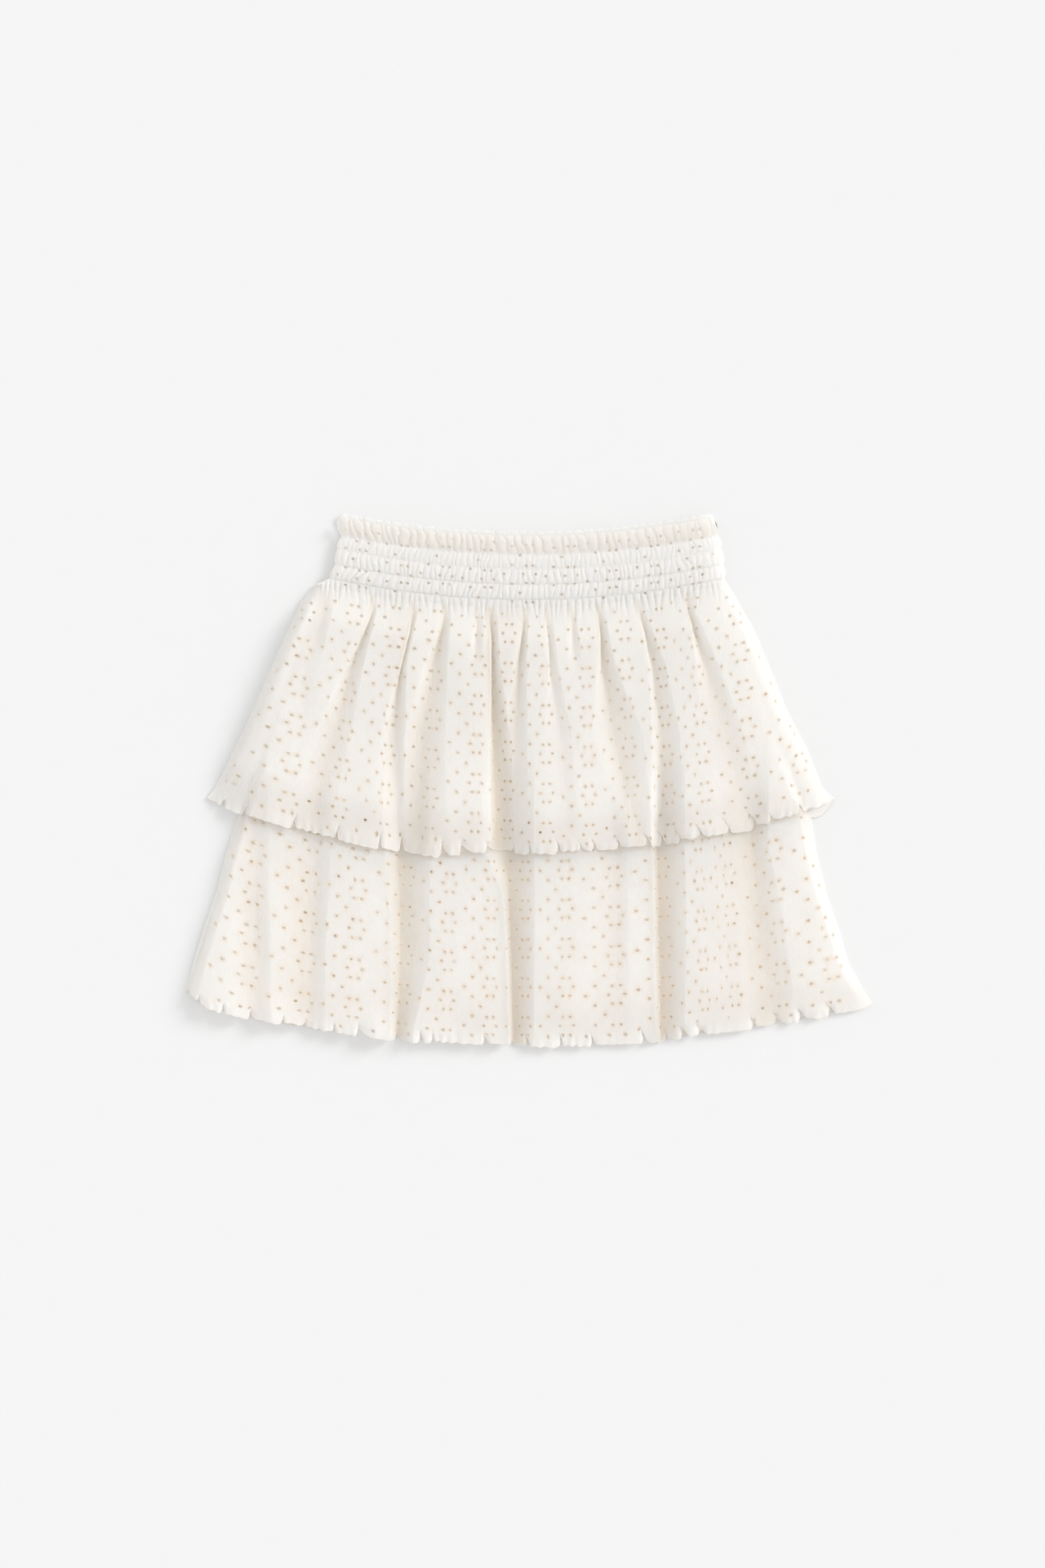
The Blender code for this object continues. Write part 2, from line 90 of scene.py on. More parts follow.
# %% [markdown]
# ## How the cloth lies
#
# Gathered cloth doesn't lie like paper. It stands a few millimetres off the layer below and drops into
# narrow valleys, steep on the left and gentle on the right. Each valley is one row of a table, with its
# place, depth and slopes at four heights. A product of such valleys never sinks through what the cloth
# lies on, which a sum of sculpted strokes could.

# %% Layers and lofts
WALL = 1.4  # wall of a tier in the model
GAP = 0.3
LAYER = WALL + GAP
CLOTH = 0.6  # real thickness of the jersey
UPPER_LOFT, UPPER_LOFT_LOW = 6.5, 5.2
LOWER_LOFT_HIDDEN, LOWER_LOFT = 1.0, 6.4
LOFT_CHANGE = (35.0, -25.0)  # the heights between which a loft changes
FOLD_FADE = (45.0, 0.0)  # the heights between which the lower tier's folds begin
SIDE_RUN, TOP_RUN, STEP_RUN = 8.0, 26.0, 7.0  # lengths over which cloth rises from a side, a seam, a step
CLEAR, FACET_CLEAR = 2.0, 0.5  # room between the tiers, beside and above the lower one
SETTLE, SETTLE_RUN = 1.4, 6.0  # thin cloth comes down this far to meet the layer below at its edges
print("the lower tier's crowns stand", LOWER_LOFT, "mm off the back")

# %% Folds
# One value for each height: x of the deepest line, share of the loft lost there, width of the rise on its
# right, and reach of the fall on its left
Fold = namedtuple("Fold", "x depth rise fall")
Folds = namedtuple("Folds", "heights rows")
UPPER_FOLDS = Folds((112, 75, 30, -47), table_of(Fold, (
    ((-138, -150, -158, -160), (0.5, 0.2, 0, 0), (6, 9, 9, 9), (5, 8, 8, 8)),
    ((-105.6, -119.5, -132, -150), (0.85, 0.62, 0.5, 0.25), (3, 8, 12, 14), (0.5, 2.5, 7, 12)),
    ((-78, -86.8, -91.5, -92.5), (0.92, 0.8, 0.52, 0.25), (3, 4.5, 8, 8), (0.5, 0.8, 4, 8)),
    ((-56.5, -65, -72.5, -74), (0.9, 0.64, 0.66, 0.5), (4, 10, 16, 18), (0.5, 3, 6, 8)),
    ((-34.8, -37, -40, -42), (0.7, 0.05, 0, 0), (3, 5, 6, 6), (0.5, 3, 5, 5)),
    ((-26.7, -26.6, -24.8, -21.5), (0.97, 0.96, 0.94, 0.97), (5, 7, 12, 12), (0.6, 0.8, 1.8, 2.8)),
    ((-3.5, -6.5, -9.5, -11), (0.9, 0.65, 0.4, 0.2), (3, 4.5, 8, 9), (0.5, 2.5, 5, 8)),
    ((11, 13.5, 20, 27), (0.6, 0.45, 0.25, 0.15), (4, 5.5, 8, 8), (0.6, 0.7, 5, 8)),
    ((28.2, 30, 32, 34), (0.7, 0.05, 0, 0), (3, 5, 6, 6), (0.5, 3, 5, 5)),
    ((46, 48.8, 56, 76), (0.95, 0.76, 0.56, 0.45), (4, 9, 20, 7), (0.5, 1.8, 7, 4)),
    ((73.5, 82.5, 87.7, 90), (0.74, 0.52, 0.5, 0.56), (4, 9, 13, 13), (0.6, 1.6, 3, 3)),
    ((106, 118, 132, 147), (0.84, 0.52, 0.38, 0.42), (5, 9, 12, 10), (0.6, 3, 10, 12)),
)))
LOWER_FOLDS = Folds((-45, -75, -120, -170), table_of(Fold, (
    ((-186, -185, -184, -184), (0.3, 0.38, 0.42, 0.38), (11, 10, 10, 11), (10,) * 4),
    ((-146, -146, -147, -149), (0.35, 0.55, 0.52, 0.45), (13, 11, 10, 12), (15,) * 4),
    ((-88, -87, -86.5, -89), (0.88, 0.88, 0.88, 0.85), (21, 20, 19.5, 11), (5, 4, 3.4, 2.4)),
    ((-16, -14, -12.5, -11), (0.95, 0.97, 0.97, 0.97), (19, 17.5, 15.5, 14), (8, 2.4, 2, 2)),
    ((55, 56, 57, 58), (0.38, 0.34, 0.25, 0.1), (11, 10, 9, 9), (13,) * 4),
    ((86, 86.5, 87, 88.5), (0.94, 0.95, 0.95, 0.95), (18, 18.5, 18, 15.5), (2.2,) * 4),
    ((129, 131, 132, 134), (0.12, 0.15, 0.2, 0.1), (10, 10, 10, 10), (10,) * 4),
    ((149, 152, 157, 166), (0.75, 0.62, 0.62, 0.55), (11, 15, 17, 14), (14,) * 4),
)))
BASIN = 1.5  # above 1 a valley's bottom is flat and its rise steep
FALL_RUN = 2.0  # a fall runs out at this many times its reach
FALL_ROUND, RISE_ROUND = 0.7, 0.15  # how rounded the two slopes of a valley are
OVERHANG = 2.4  # a crown leans this far over a valley that it falls into sharply
LEAN_PLACE, LEAN_RUN = 1.5, 4.0  # the lean is full this many reaches left of the valley, and its run
SHARP, SOFT = 0.8, 3.2  # reach of a sharp fall, and of one too soft to lean
EDGE_PLACE, EDGE_WIDE, EDGE_SHARE = 1.6, 3.8, 0.5  # painted shade along a crown's edge: reaches left, width, strength
EDGE_SHARP, EDGE_SOFT = 3.0, 6.0  # reach of a fall with full painted edge shade, and of one with none

# The back lies under its own weight, so its creases are shallow
BACK_FOLDS = Folds((100, 20, -80, -170), table_of(Fold, (
    ((-112, -126, -146, -160), (0.9, 0.8, 0.7, 0.5), (9, 12, 12, 12), (5,) * 4),
    ((-66, -78, -88, -96), (0.8, 0.9, 0.8, 0.6), (9, 12, 14, 12), (6,) * 4),
    ((-22, -24, -30, -34), (0.9, 0.7, 0.7, 0.8), (9, 10, 12, 12), (5,) * 4),
    ((18, 22, 26, 27), (0.6, 0.9, 0.9, 0.7), (8, 10, 12, 12), (7,) * 4),
    ((58, 68, 80, 88), (0.9, 0.8, 0.7, 0.8), (9, 11, 13, 12), (5,) * 4),
    ((102, 120, 140, 152), (0.8, 0.8, 0.7, 0.5), (9, 12, 12, 12), (6,) * 4),
)))
BACK_CREASE = 1.1
print("folds:", [len(folds.rows) for folds in (UPPER_FOLDS, LOWER_FOLDS, BACK_FOLDS)])

# %% [markdown]
# Every height below is a function of x and y on the table. The model was made from the same functions on a
# rougher grid, so the thin cloth fits its walls, and a layer can ask how high the one under it lies.

# %% Outlines of the tiers
def smooth(t):
    """Soft step from 0 to 1."""
    t = np.clip(t, 0.0, 1.0)
    return t * t * (3.0 - 2.0 * t)


def mix(a, b, t):
    """a at t = 0 and b at t = 1."""
    return a + (b - a) * t


def sides_at(sides, y):
    """x of a tier's left and right side seams at the heights y."""
    heights, left, right = zip(*sides[::-1])
    return np.interp(y, heights, left), np.interp(y, heights, right)


def seam_y(x):
    """Height of the tiers' top edge."""
    return SEAM_MIDDLE - GAP + SEAM_RISE * ((x - SEAM_CENTRE) / SEAM_HALF) ** 2


def hem_y(hem, p):
    """Height of a hem's arc, p running from 0 at the left side to 1 at the right."""
    u = 2.0 * p - 1.0
    return hem.middle + hem.rise * u ** 2 + hem.tip * np.where(u < 0.0, np.abs(u) ** TIP_POWER, 0.0)


def upper_hem_y(x):
    """Height of the upper hem's arc over the point x of the tier below."""
    left, right = UPPER_SIDES[-1].left, UPPER_SIDES[-1].right
    return hem_y(UPPER_HEM, (x - left) / (right - left))


def upper_points(p, v):
    """x and y of the upper tier at p across and v down."""
    height = mix(SEAM_SIDE, UPPER_SIDES[-1].y, v)
    x = mix(*sides_at(UPPER_SIDES, height), p)
    top_y = seam_y(mix(UPPER_SIDES[0].left, UPPER_SIDES[0].right, p))
    return x, mix(top_y, hem_y(UPPER_HEM, p), v)


def lower_points(p, v):
    """x and y of the lower tier: v is 1 under the upper hem and 2 at its own hem."""
    shelf_x = mix(*sides_at(LOWER_SIDES, SHELF_SIDE), p)
    shelf_y = upper_hem_y(shelf_x)
    height = np.where(v < 1.0, mix(SEAM_SIDE, SHELF_SIDE, v), mix(SHELF_SIDE, LOWER_SIDES[-1].y, v - 1.0))
    x = mix(*sides_at(LOWER_SIDES, height), p)
    top_y = seam_y(mix(LOWER_SIDES[0].left, LOWER_SIDES[0].right, p))
    y = np.where(v < 1.0, mix(top_y, shelf_y, v), mix(shelf_y, hem_y(LOWER_HEM, p), v - 1.0))
    return x, y


print("upper tier's corners:", [np.round(upper_points(p, 1.0), 1).tolist() for p in (0.0, 1.0)])

# %% Valleys between the crowns
def to_side(sides, x, y):
    """Distance in from a tier's side seams."""
    left, right = sides_at(sides, y)
    return np.minimum(x - left, right - x)


def loose(sides, x, y):
    """How free a tier is to stand up: 0 along its side seams and the waist seam, 1 away from them."""
    return smooth(to_side(sides, x, y) / SIDE_RUN) * smooth((seam_y(x) - y) / TOP_RUN)


def fade(span, y):
    """0 above the span of heights and 1 below it."""
    return smooth((span[0] - y) / (span[0] - span[1]))


def folds_at(folds, y):
    """Place, depth, rise and fall of each fold at the heights y."""
    down = [-height for height in folds.heights]
    for fold in folds.rows:
        yield Fold(*(np.interp(-y, down, values) for values in fold))


def valleys(folds, x, y):
    """What the folds leave: 1 on a crown, near 0 in a deep valley."""
    share = np.ones_like(x)
    for fold in folds_at(folds, y):
        away = x - fold.x
        fall = np.clip(-away / fold.fall / FALL_RUN, 0.0, 1.0)
        rise = np.clip(away / fold.rise, 0.0, 1.0)
        left = mix(fall, smooth(fall), FALL_ROUND)
        right = mix(rise, smooth(rise), RISE_ROUND) ** BASIN
        share = share * (1.0 - fold.depth * (1.0 - np.where(away < 0.0, left, right)))
    return share


def overhang(folds, x, y):
    """How far the crowns lean to the right over sharp valleys."""
    shift = np.zeros_like(x)
    for fold in folds_at(folds, y):
        crown = x - fold.x + LEAN_PLACE * fold.fall
        past = 1.0 - smooth(crown / (LEAN_PLACE * fold.fall))
        near = np.where(crown < 0.0, np.exp(-(crown / LEAN_RUN) ** 2), past)
        shift = shift + near * fold.depth * smooth((SOFT - fold.fall) / (SOFT - SHARP))
    return OVERHANG * shift


def lower_edge_painted_shade(x, y):
    """Painted shade on the lower tier, by how near a point is to the edge of a crown over a deep fold."""
    found = np.zeros_like(x)
    for fold in folds_at(LOWER_FOLDS, y):
        near = np.exp(-((x - fold.x + EDGE_PLACE * fold.fall) / EDGE_WIDE) ** 2)
        found = found + near * fold.depth * smooth((EDGE_SOFT - fold.fall) / (EDGE_SOFT - EDGE_SHARP))
    return EDGE_SHARE * found


print("share of the loft left in a deep fold:", valleys(UPPER_FOLDS, np.array([-24.8]), 30.0).round(2))

# %% Undersides of the layers
def back_crease(x, y):
    """How far the back's shallow creases lift off the table."""
    return BACK_CREASE * (1.0 - valleys(BACK_FOLDS, x, y))


def back_lower_under(x, y):
    """Underside of the back lower tier."""
    return LAYER * smooth(1.0 - (upper_hem_y(x) - y) / STEP_RUN)


def front_lower_under(x, y, wave=0.0, near_hem=0.0):
    """Underside of the front lower tier's wall."""
    share = mix(1.0, valleys(LOWER_FOLDS, x, y), fade(FOLD_FADE, y))
    loft = mix(mix(LOWER_LOFT_HIDDEN, LOWER_LOFT, fade(LOFT_CHANGE, y)), wave, near_hem)
    return back_lower_under(x, y) + LAYER + loft * share * loose(LOWER_SIDES, x, y)


def under_upper(x, y):
    """What the front upper tier lies on: the lower tier, and the back upper tier past its sides."""
    inner_left, inner_right = sides_at(LOWER_SIDES, y)
    outer_left, outer_right = sides_at(UPPER_SIDES, y)
    left_share = (x - outer_left) / (inner_left - CLEAR - outer_left)
    right_share = (outer_right - x) / (outer_right - inner_right - CLEAR)
    inside = np.clip(x, inner_left, inner_right)
    covered = front_lower_under(inside, y) + LAYER + FACET_CLEAR * smooth((seam_y(x) - y) / TOP_RUN)
    return mix(LAYER, covered, smooth(np.minimum(left_share, right_share)))


def front_upper_under(x, y, wave=0.0, near_hem=0.0):
    """Underside of the front upper tier's wall."""
    loft = mix(mix(UPPER_LOFT, UPPER_LOFT_LOW, fade(LOFT_CHANGE, y)), wave, near_hem)
    return under_upper(x, y) + loft * valleys(UPPER_FOLDS, x, y) * loose(UPPER_SIDES, x, y)


middle = np.array([0.0])
print("wall of the upper tier at the middle:", front_upper_under(middle, middle).round(1), "mm up")

# %% [markdown]
# ## Lettuce hems
#
# An overlocker stretches the edge while it wraps it with thread. The edge ends up longer than the cloth
# above it and buckles into waves: each one slopes up gently from the left and drops at its right end into
# a pinched slot. Real waves are uneven, so a table gives the slot at each one's right end, the lift of its
# crest, the slot's width and how far the wave hangs below the hem's arc.

# %% Hem waves
Wave = namedtuple("Wave", "notch lift slot drop")
UPPER_WAVES = table_of(Wave, (
    (-206, 1, 1, 1), (-191.7, 1.2, 1.8, 3.5), (-158.7, 1, 3, 3.2), (-129.5, 0.8, 2.2, 2.8),
    (-100.5, 0.7, 1.2, 5.4), (-86.5, 1.2, 3.6, 5.2), (-59, 0.6, 4, 6), (-46, 1, 6.5, 4), (-29, 1.2, 5, 1),
    (-11, 0.5, 1.6, -1.4), (0, 0.6, 1.6, 1.6), (19, 0.8, 2.4, 1.6), (34, 0.5, 2, 0.2), (43, 0.6, 2.6, 0.6),
    (59.5, 0.8, 2.4, 1.4), (78.5, 0.9, 5, 1), (88.5, 0.8, 3.2, 3.2), (100.4, 0.6, 1.8, 2.8),
    (114, 0.8, 3.6, 1.6), (133.5, 0.9, 2.6, 2.6), (150.5, 1, 2.6, 4.8), (161.5, 0.8, 2, 2.6),
    (180.5, 0.8, 4.2, 2), (205.5, 1, 1, 2),
))
LOWER_WAVES = table_of(Wave, (
    (-222.5, 7.5, 2.6, -1.2), (-206, 8.5, 2.6, 1.2), (-188, 9, 3.4, 1.4), (-166, 9.5, 2, 0.8),
    (-151, 9.5, 3, -0.8), (-131.5, 6.5, 2.2, 0.4), (-115.5, 7, 9, 1.2), (-90, 9.5, 4.4, 1.6),
    (-73.5, 8, 3.4, 2), (-65, 7, 1.6, 1.6), (-30.5, 5, 3.2, 0.7), (-12.5, 6, 3, 0.2), (-2, 6, 3, 0.8),
    (21, 4.2, 2, 2.6), (42.1, 3.2, 1.6, 2.5), (76.5, 2.8, 2, 2.5), (91.8, 3.4, 2.2, 2.8),
    (102.5, 4, 5.5, 2), (114, 4.2, 6, 1), (150.5, 3.4, 2.4, 1.4), (165.5, 3, 7, 0.8), (182, 3, 7, 2),
    (201.5, 2.8, 5, 2), (230.7, 2, 1, 2.2),
))
HEM_RUN = 28.0  # the waves die out over this length
SLOT_TOP, SCALLOP_RUN = 4.0, 15.0  # height of a slot above the hem's arc, and its run
SLOT_LENGTH, SLOT_LEFT, SLOT_OPEN = 2.5, 0.9, 1.5  # length past its width, and how it opens to both sides
WAVE_START = 0.8  # a wave hangs down this share of its drop at its left end, and all of it at its right
TILT_LOW, TILT_HIGH = -0.6, 0.5  # a wave lies lower at its left end and higher at its right end
TILT_RUN = 8.0
SLOT_SINK, SLOT_DROP = 0.7, 1.6  # share of the lift that a slot loses, and the most that it loses
RIPPLE_OUT, RIPPLE_UP, RIPPLE_RUN = 0.55, 0.45, 8.0  # small ripples along the stretched edge
BLUNT = 2.2  # radius of a wave's right end


print("hem waves:", len(UPPER_WAVES), "above and", len(LOWER_WAVES), "below")

# %% Waves at any place along a hem
def ripple(x):
    """Uneven small waves of the stretched edge, six or seven millimetres long."""
    return np.sin(x / 1.05 + 1.3 * np.sin(x / 4.7)) * (0.6 + 0.4 * np.sin(x / 13.0))


def wave_lines(waves, left):
    """x of the slots between the waves, and of the waves' middles."""
    notches = np.array([left] + [wave.notch for wave in waves])
    return notches, 0.5 * (notches[1:] + notches[:-1])


def hem_waves(waves, left, p):
    """At p: how far the hem hangs below its arc, its lift and tilt, how open a slot is and how long."""
    notches, middles = wave_lines(waves, left)
    slots = np.array([waves[0].slot] + [wave.slot for wave in waves])
    x = mix(left, notches[-1], p)
    which = np.clip(np.searchsorted(notches, x, side="right") - 1, 0, len(waves) - 1)
    start, end = notches[which], notches[which + 1]
    t = np.clip((x - start) / (end - start), 0.0, 1.0)
    corner = np.sqrt(1.0 - (1.0 - np.clip((end - x) / BLUNT, 0.0, 1.0)) ** 2)
    drops = np.array([wave.drop for wave in waves])[which]
    hang = mix(-SLOT_TOP, drops, smooth((x - start) / slots[which]) * mix(WAVE_START, 1.0, t) * corner)
    slot = np.zeros_like(x)
    for wave in waves[:-1]:
        away = x - wave.notch
        right = 1.0 - smooth(away / (SLOT_OPEN * wave.slot + 1.0))
        slot = np.maximum(slot, np.where(away < 0.0, np.exp(-(away / SLOT_LEFT) ** 2), right))
    lift = np.interp(x, middles, [wave.lift for wave in waves])
    return hang, lift, mix(TILT_LOW, TILT_HIGH, t), slot, SLOT_LENGTH + slots[which]


def crest_y(x):
    """Height of the line along the crests of the upper hem's waves."""
    _, middles = wave_lines(UPPER_WAVES, UPPER_SIDES[-1].left)
    return upper_hem_y(x) - np.interp(x, middles, [wave.drop for wave in UPPER_WAVES])


print("crest of the upper hem at the middle: y =", crest_y(0.0).round(1))

# %% [markdown]
# ## From flat cloth to laid cloth
#
# Eyelets are knitted into the flat cloth, so they narrow where the cloth turns away into a fold. A Boolean
# cut from above would miss that. Instead each panel is triangulated flat, holes and all, and every point
# is then carried to its place in the folds. `Drape` is that map: a fine grid of laid points, each with its
# distance across and down the flat cloth.
#
# The eyelets' pattern repeats every 38 mm across the flat cloth. Gathers too fine to see bring its columns
# closer together, so a table tells where each column of rosettes came to lie.

# %% Columns of the knit
REPEAT_ACROSS, REPEAT_DOWN = 38.0, 26.3
Column = namedtuple("Column", "x y")  # middle of one rosette of the column
UPPER_COLUMNS = table_of(Column, (
    (-196.6, 2.5), (-155.9, 36.4), (-122.4, 32.3), (-93.6, 42.2), (-64.5, 39.9), (-34.8, 49.5),
    (-14.4, 44.7), (11, 43), (38.6, 42), (66, 47.7), (91, 42), (113.8, 43), (144.7, 33.4), (178.6, 9.6),
))
LOWER_COLUMNS = table_of(Column, (
    (-186.5, -105.1), (-148, -95.9), (-115.9, -100.6), (-83.1, -91.8), (-54, -95.7), (-25.8, -87.3),
    (-3, -88), (24, -87), (57, -92), (91, -85.5), (115.6, -94.4), (134.8, -91.3), (166.4, -74.6),
    (200.7, -98.4),
))
UPPER_FAN, LOWER_FAN = (0.0006, 40.0), (0.0004, -95.0)  # columns spread downwards, from this height


def even_columns(pitch, count, y, wander):
    """A table of evenly laid columns."""
    places = range(-(count // 2), count // 2 + 1)
    return tuple(Column(pitch * i, y + wander * np.sin(2.1 * i + 0.7)) for i in places)


# %% The map from flat to laid
FAR = 99.0  # a place past any side seam


def lengths_along(points):
    """How far each point lies from the first, measured along their line."""
    return np.concatenate(([0.0], np.cumsum(np.linalg.norm(np.diff(points, axis=0), axis=1))))


class Drape:
    """A panel as it lies: points on a fine grid, and the place of each on the flat cloth."""

    def __init__(self, laid, unwaved, down, columns, fan):
        self.laid, self.down, self.columns = laid, down, columns
        places = [columns[0].x - REPEAT_ACROSS] + [c.x for c in columns] + [columns[-1].x + REPEAT_ACROSS]
        flat_places = REPEAT_ACROSS * np.arange(-1, len(columns) + 1)
        self.across = np.empty(laid.shape[:2])
        for i, row in enumerate(unwaved):
            arc = lengths_along(row)
            x = row[:, 0] / (1.0 - fan[0] * (row[:, 1] - fan[1]))
            x = np.concatenate(([x[0] - FAR], x, [x[-1] + FAR]))
            arc = np.concatenate(([-FAR], arc, [arc[-1] + FAR]))
            knots = np.interp(places, x, arc)
            self.across[i] = np.interp(arc[1:-1], knots, flat_places)
        side = np.gradient(laid, axis=1)
        forward = np.gradient(laid, axis=0)
        normal = np.cross(forward, side)
        self.normal = normal / np.linalg.norm(normal, axis=2, keepdims=True)
        self.numbers = np.arange(laid.shape[1], dtype=float)

    def edge(self, t, end):
        """Distance across at the left (end 0) or right (end -1) side, t down."""
        return np.interp(t, self.down, self.across[:, end])

    def size(self):
        """Widest width, length and area of the flat panel."""
        width = self.across[:, -1] - self.across[:, 0]
        area = float(np.sum(0.5 * (width[1:] + width[:-1]) * np.diff(self.down)))
        return float(width.max()), float(self.down[-1]), area

    def down_at(self, x, y):
        """Distance down of the laid point nearest to x and y."""
        gap = (self.laid[:, :, 0] - x) ** 2 + (self.laid[:, :, 1] - y) ** 2
        return self.down[np.unravel_index(gap.argmin(), gap.shape)[0]]

    def place(self, s, t):
        """Laid points and normals of the flat points s across and t down."""
        row = np.interp(t, self.down, np.arange(len(self.down)))
        above = np.clip(row.astype(int), 0, len(self.down) - 2)
        share = row - above
        column = np.empty_like(s)
        for i in np.unique(above):
            here = above == i
            high = np.interp(s[here], self.across[i], self.numbers)
            low = np.interp(s[here], self.across[i + 1], self.numbers)
            column[here] = mix(high, low, share[here])
        left = np.clip(column.astype(int), 0, len(self.numbers) - 2)
        along = (column - left)[:, None]
        share = share[:, None]

        def blend(grid):
            top = mix(grid[above, left], grid[above, left + 1], along)
            return mix(top, mix(grid[above + 1, left], grid[above + 1, left + 1], along), share)

        normal = blend(self.normal)
        return blend(self.laid), normal / np.linalg.norm(normal, axis=1, keepdims=True)


# %% [markdown]
# The eyelet pattern itself is plain: a column of six-hole rosettes, then a column in which single holes
# step from side to side. Both come from the two pitches, so a wider panel simply gets more.

# %% The eyelet pattern
ROSETTE_NEAR, ROSETTE_WIDE, ROSETTE_HIGH = 3.0, 5.6, 6.0
ZIGZAG_SWING, ZIGZAG_PLACE = 7.2, -0.42
EYELET_WIDE, EYELET_HIGH = 1.4, 0.98  # half width and half height of a hole
EDGE_KEEP = 4.0  # no hole closer to a panel's edge


def eyelets(drape, top, bottom):
    """Centres of the holes of a panel between two distances down."""
    centres = []
    for number, column in enumerate(drape.columns):
        s = number * REPEAT_ACROSS
        start = drape.down_at(column.x, column.y) % REPEAT_DOWN
        for row in range(-1, int(bottom / REPEAT_DOWN) + 2):
            t = start + row * REPEAT_DOWN
            for side in (-1.0, 1.0):
                centres.append((s + side * ROSETTE_WIDE, t))
                centres.append((s + side * ROSETTE_NEAR, t - ROSETTE_HIGH))
                centres.append((s + side * ROSETTE_NEAR, t + ROSETTE_HIGH))
            for step, swing in enumerate((-1.0, 0.0, 1.0, 0.0)):
                zigzag = s + ZIGZAG_PLACE * REPEAT_ACROSS + swing * ZIGZAG_SWING
                centres.append((zigzag, t + step * REPEAT_DOWN / 4))
    centres = np.array(centres)
    s, t = centres.T
    inside = (t > top + EDGE_KEEP) & (t < bottom - EDGE_KEEP)
    inside &= (s > drape.edge(t, 0) + EDGE_KEEP) & (s < drape.edge(t, -1) - EDGE_KEEP)
    return centres[inside]


# %% [markdown]
# ## Cutting and laying a panel
#
# Points are spread over the flat panel, closer where the cloth bends, because a fold needs them and a
# crown doesn't. A constrained Delaunay triangulation joins them without crossing a hole's ring. The same
# triangles serve the face and the underside, and a rim closes each hole and the outline: the cloth is one
# thin solid.

# %% Flat triangulation
BEND_STEP = 0.22  # radians of turn between two points
SAMPLE, SAMPLES_BLURRED = 0.5, 5  # the bend is sampled this finely, and averaged over this many samples
SHORTEST_ROW = 0.4  # share of the pitch under which the last row joins the one before
RING_POINT = 1e-5  # points closer than this are one point


def spread(drape, t, pitch, finest):
    """Places across the panel at t down, closer where the laid cloth bends or stands steep."""
    left, right = float(drape.edge(t, 0)), float(drape.edge(t, -1))
    s = np.linspace(left, right, int((right - left) / SAMPLE))
    points, _ = drape.place(s, np.full_like(s, t))
    ahead = np.diff(points, axis=0)
    length = np.linalg.norm(ahead, axis=1)
    turn = np.linalg.norm(np.diff(ahead / length[:, None], axis=0), axis=1)
    blur = np.ones(SAMPLES_BLURRED) / SAMPLES_BLURRED
    turn = np.convolve(np.concatenate(([0.0], turn, [0.0])), blur, "same")
    density = np.minimum(1.0 / pitch + turn / (s[1] - s[0]) / BEND_STEP, 1.0 / finest)
    count = np.concatenate(([0.0], np.cumsum(0.5 * (density[1:] + density[:-1]) * (s[1] - s[0]))))
    steps = max(2, int(round(count[-1])))
    return np.interp(np.linspace(0.0, count[-1], steps + 1), count, s)


def flat_rows(length, bands):
    """Distances down for the rows of points; bands are (from, to, pitch)."""
    rows = [0.0]
    while rows[-1] < length:
        pitch = next(pitch for low, high, pitch in bands if low <= rows[-1] < high)
        rows.append(rows[-1] + pitch)
    rows[-1] = length
    if rows[-1] - rows[-2] < SHORTEST_ROW * bands[-1][2]:
        del rows[-2]
    return rows


# %% Cutting a panel
Panel = namedtuple("Panel", "name drape bands holes_from hole_sides finest seed")
EYELET_SIZES = (0.8, 1.12)  # no two eyelets are quite the same size
SEAM_ROOM, RIM_ROOM = 0.3, 0.45  # free space along a side seam and round a hole, in pitches
NEARBY = 4.0  # points further from a hole than this can't touch it
HAIR = 0.01  # a hair's breadth short of the last row, or past it


def outline_of(drape, rows, pitches, finest):
    """Points round the flat panel."""
    inner = rows[1:-1]
    outline = [(s, 0.0) for s in spread(drape, 0.0, pitches[0], finest)]
    outline += [(float(drape.edge(t, -1)), t) for t in inner]
    outline += [(s, rows[-1]) for s in spread(drape, rows[-1], pitches[-1], finest)[::-1]]
    outline += [(float(drape.edge(t, 0)), t) for t in inner[::-1]]
    return outline


def points_inside(drape, rows, pitches, finest):
    """Points across the flat panel in staggered rows, each with its row's pitch."""
    cloud = []
    for number, (t, pitch) in enumerate(zip(rows[1:-1], pitches[1:-1])):
        s = spread(drape, t, pitch, finest)
        s = (s[1:] + s[:-1]) / 2 if number % 2 else s[1:-1]
        s = s[(s > drape.edge(t, 0) + SEAM_ROOM * pitch) & (s < drape.edge(t, -1) - SEAM_ROOM * pitch)]
        cloud.append(np.column_stack((s, np.full_like(s, t), np.full_like(s, pitch))))
    return np.concatenate(cloud)


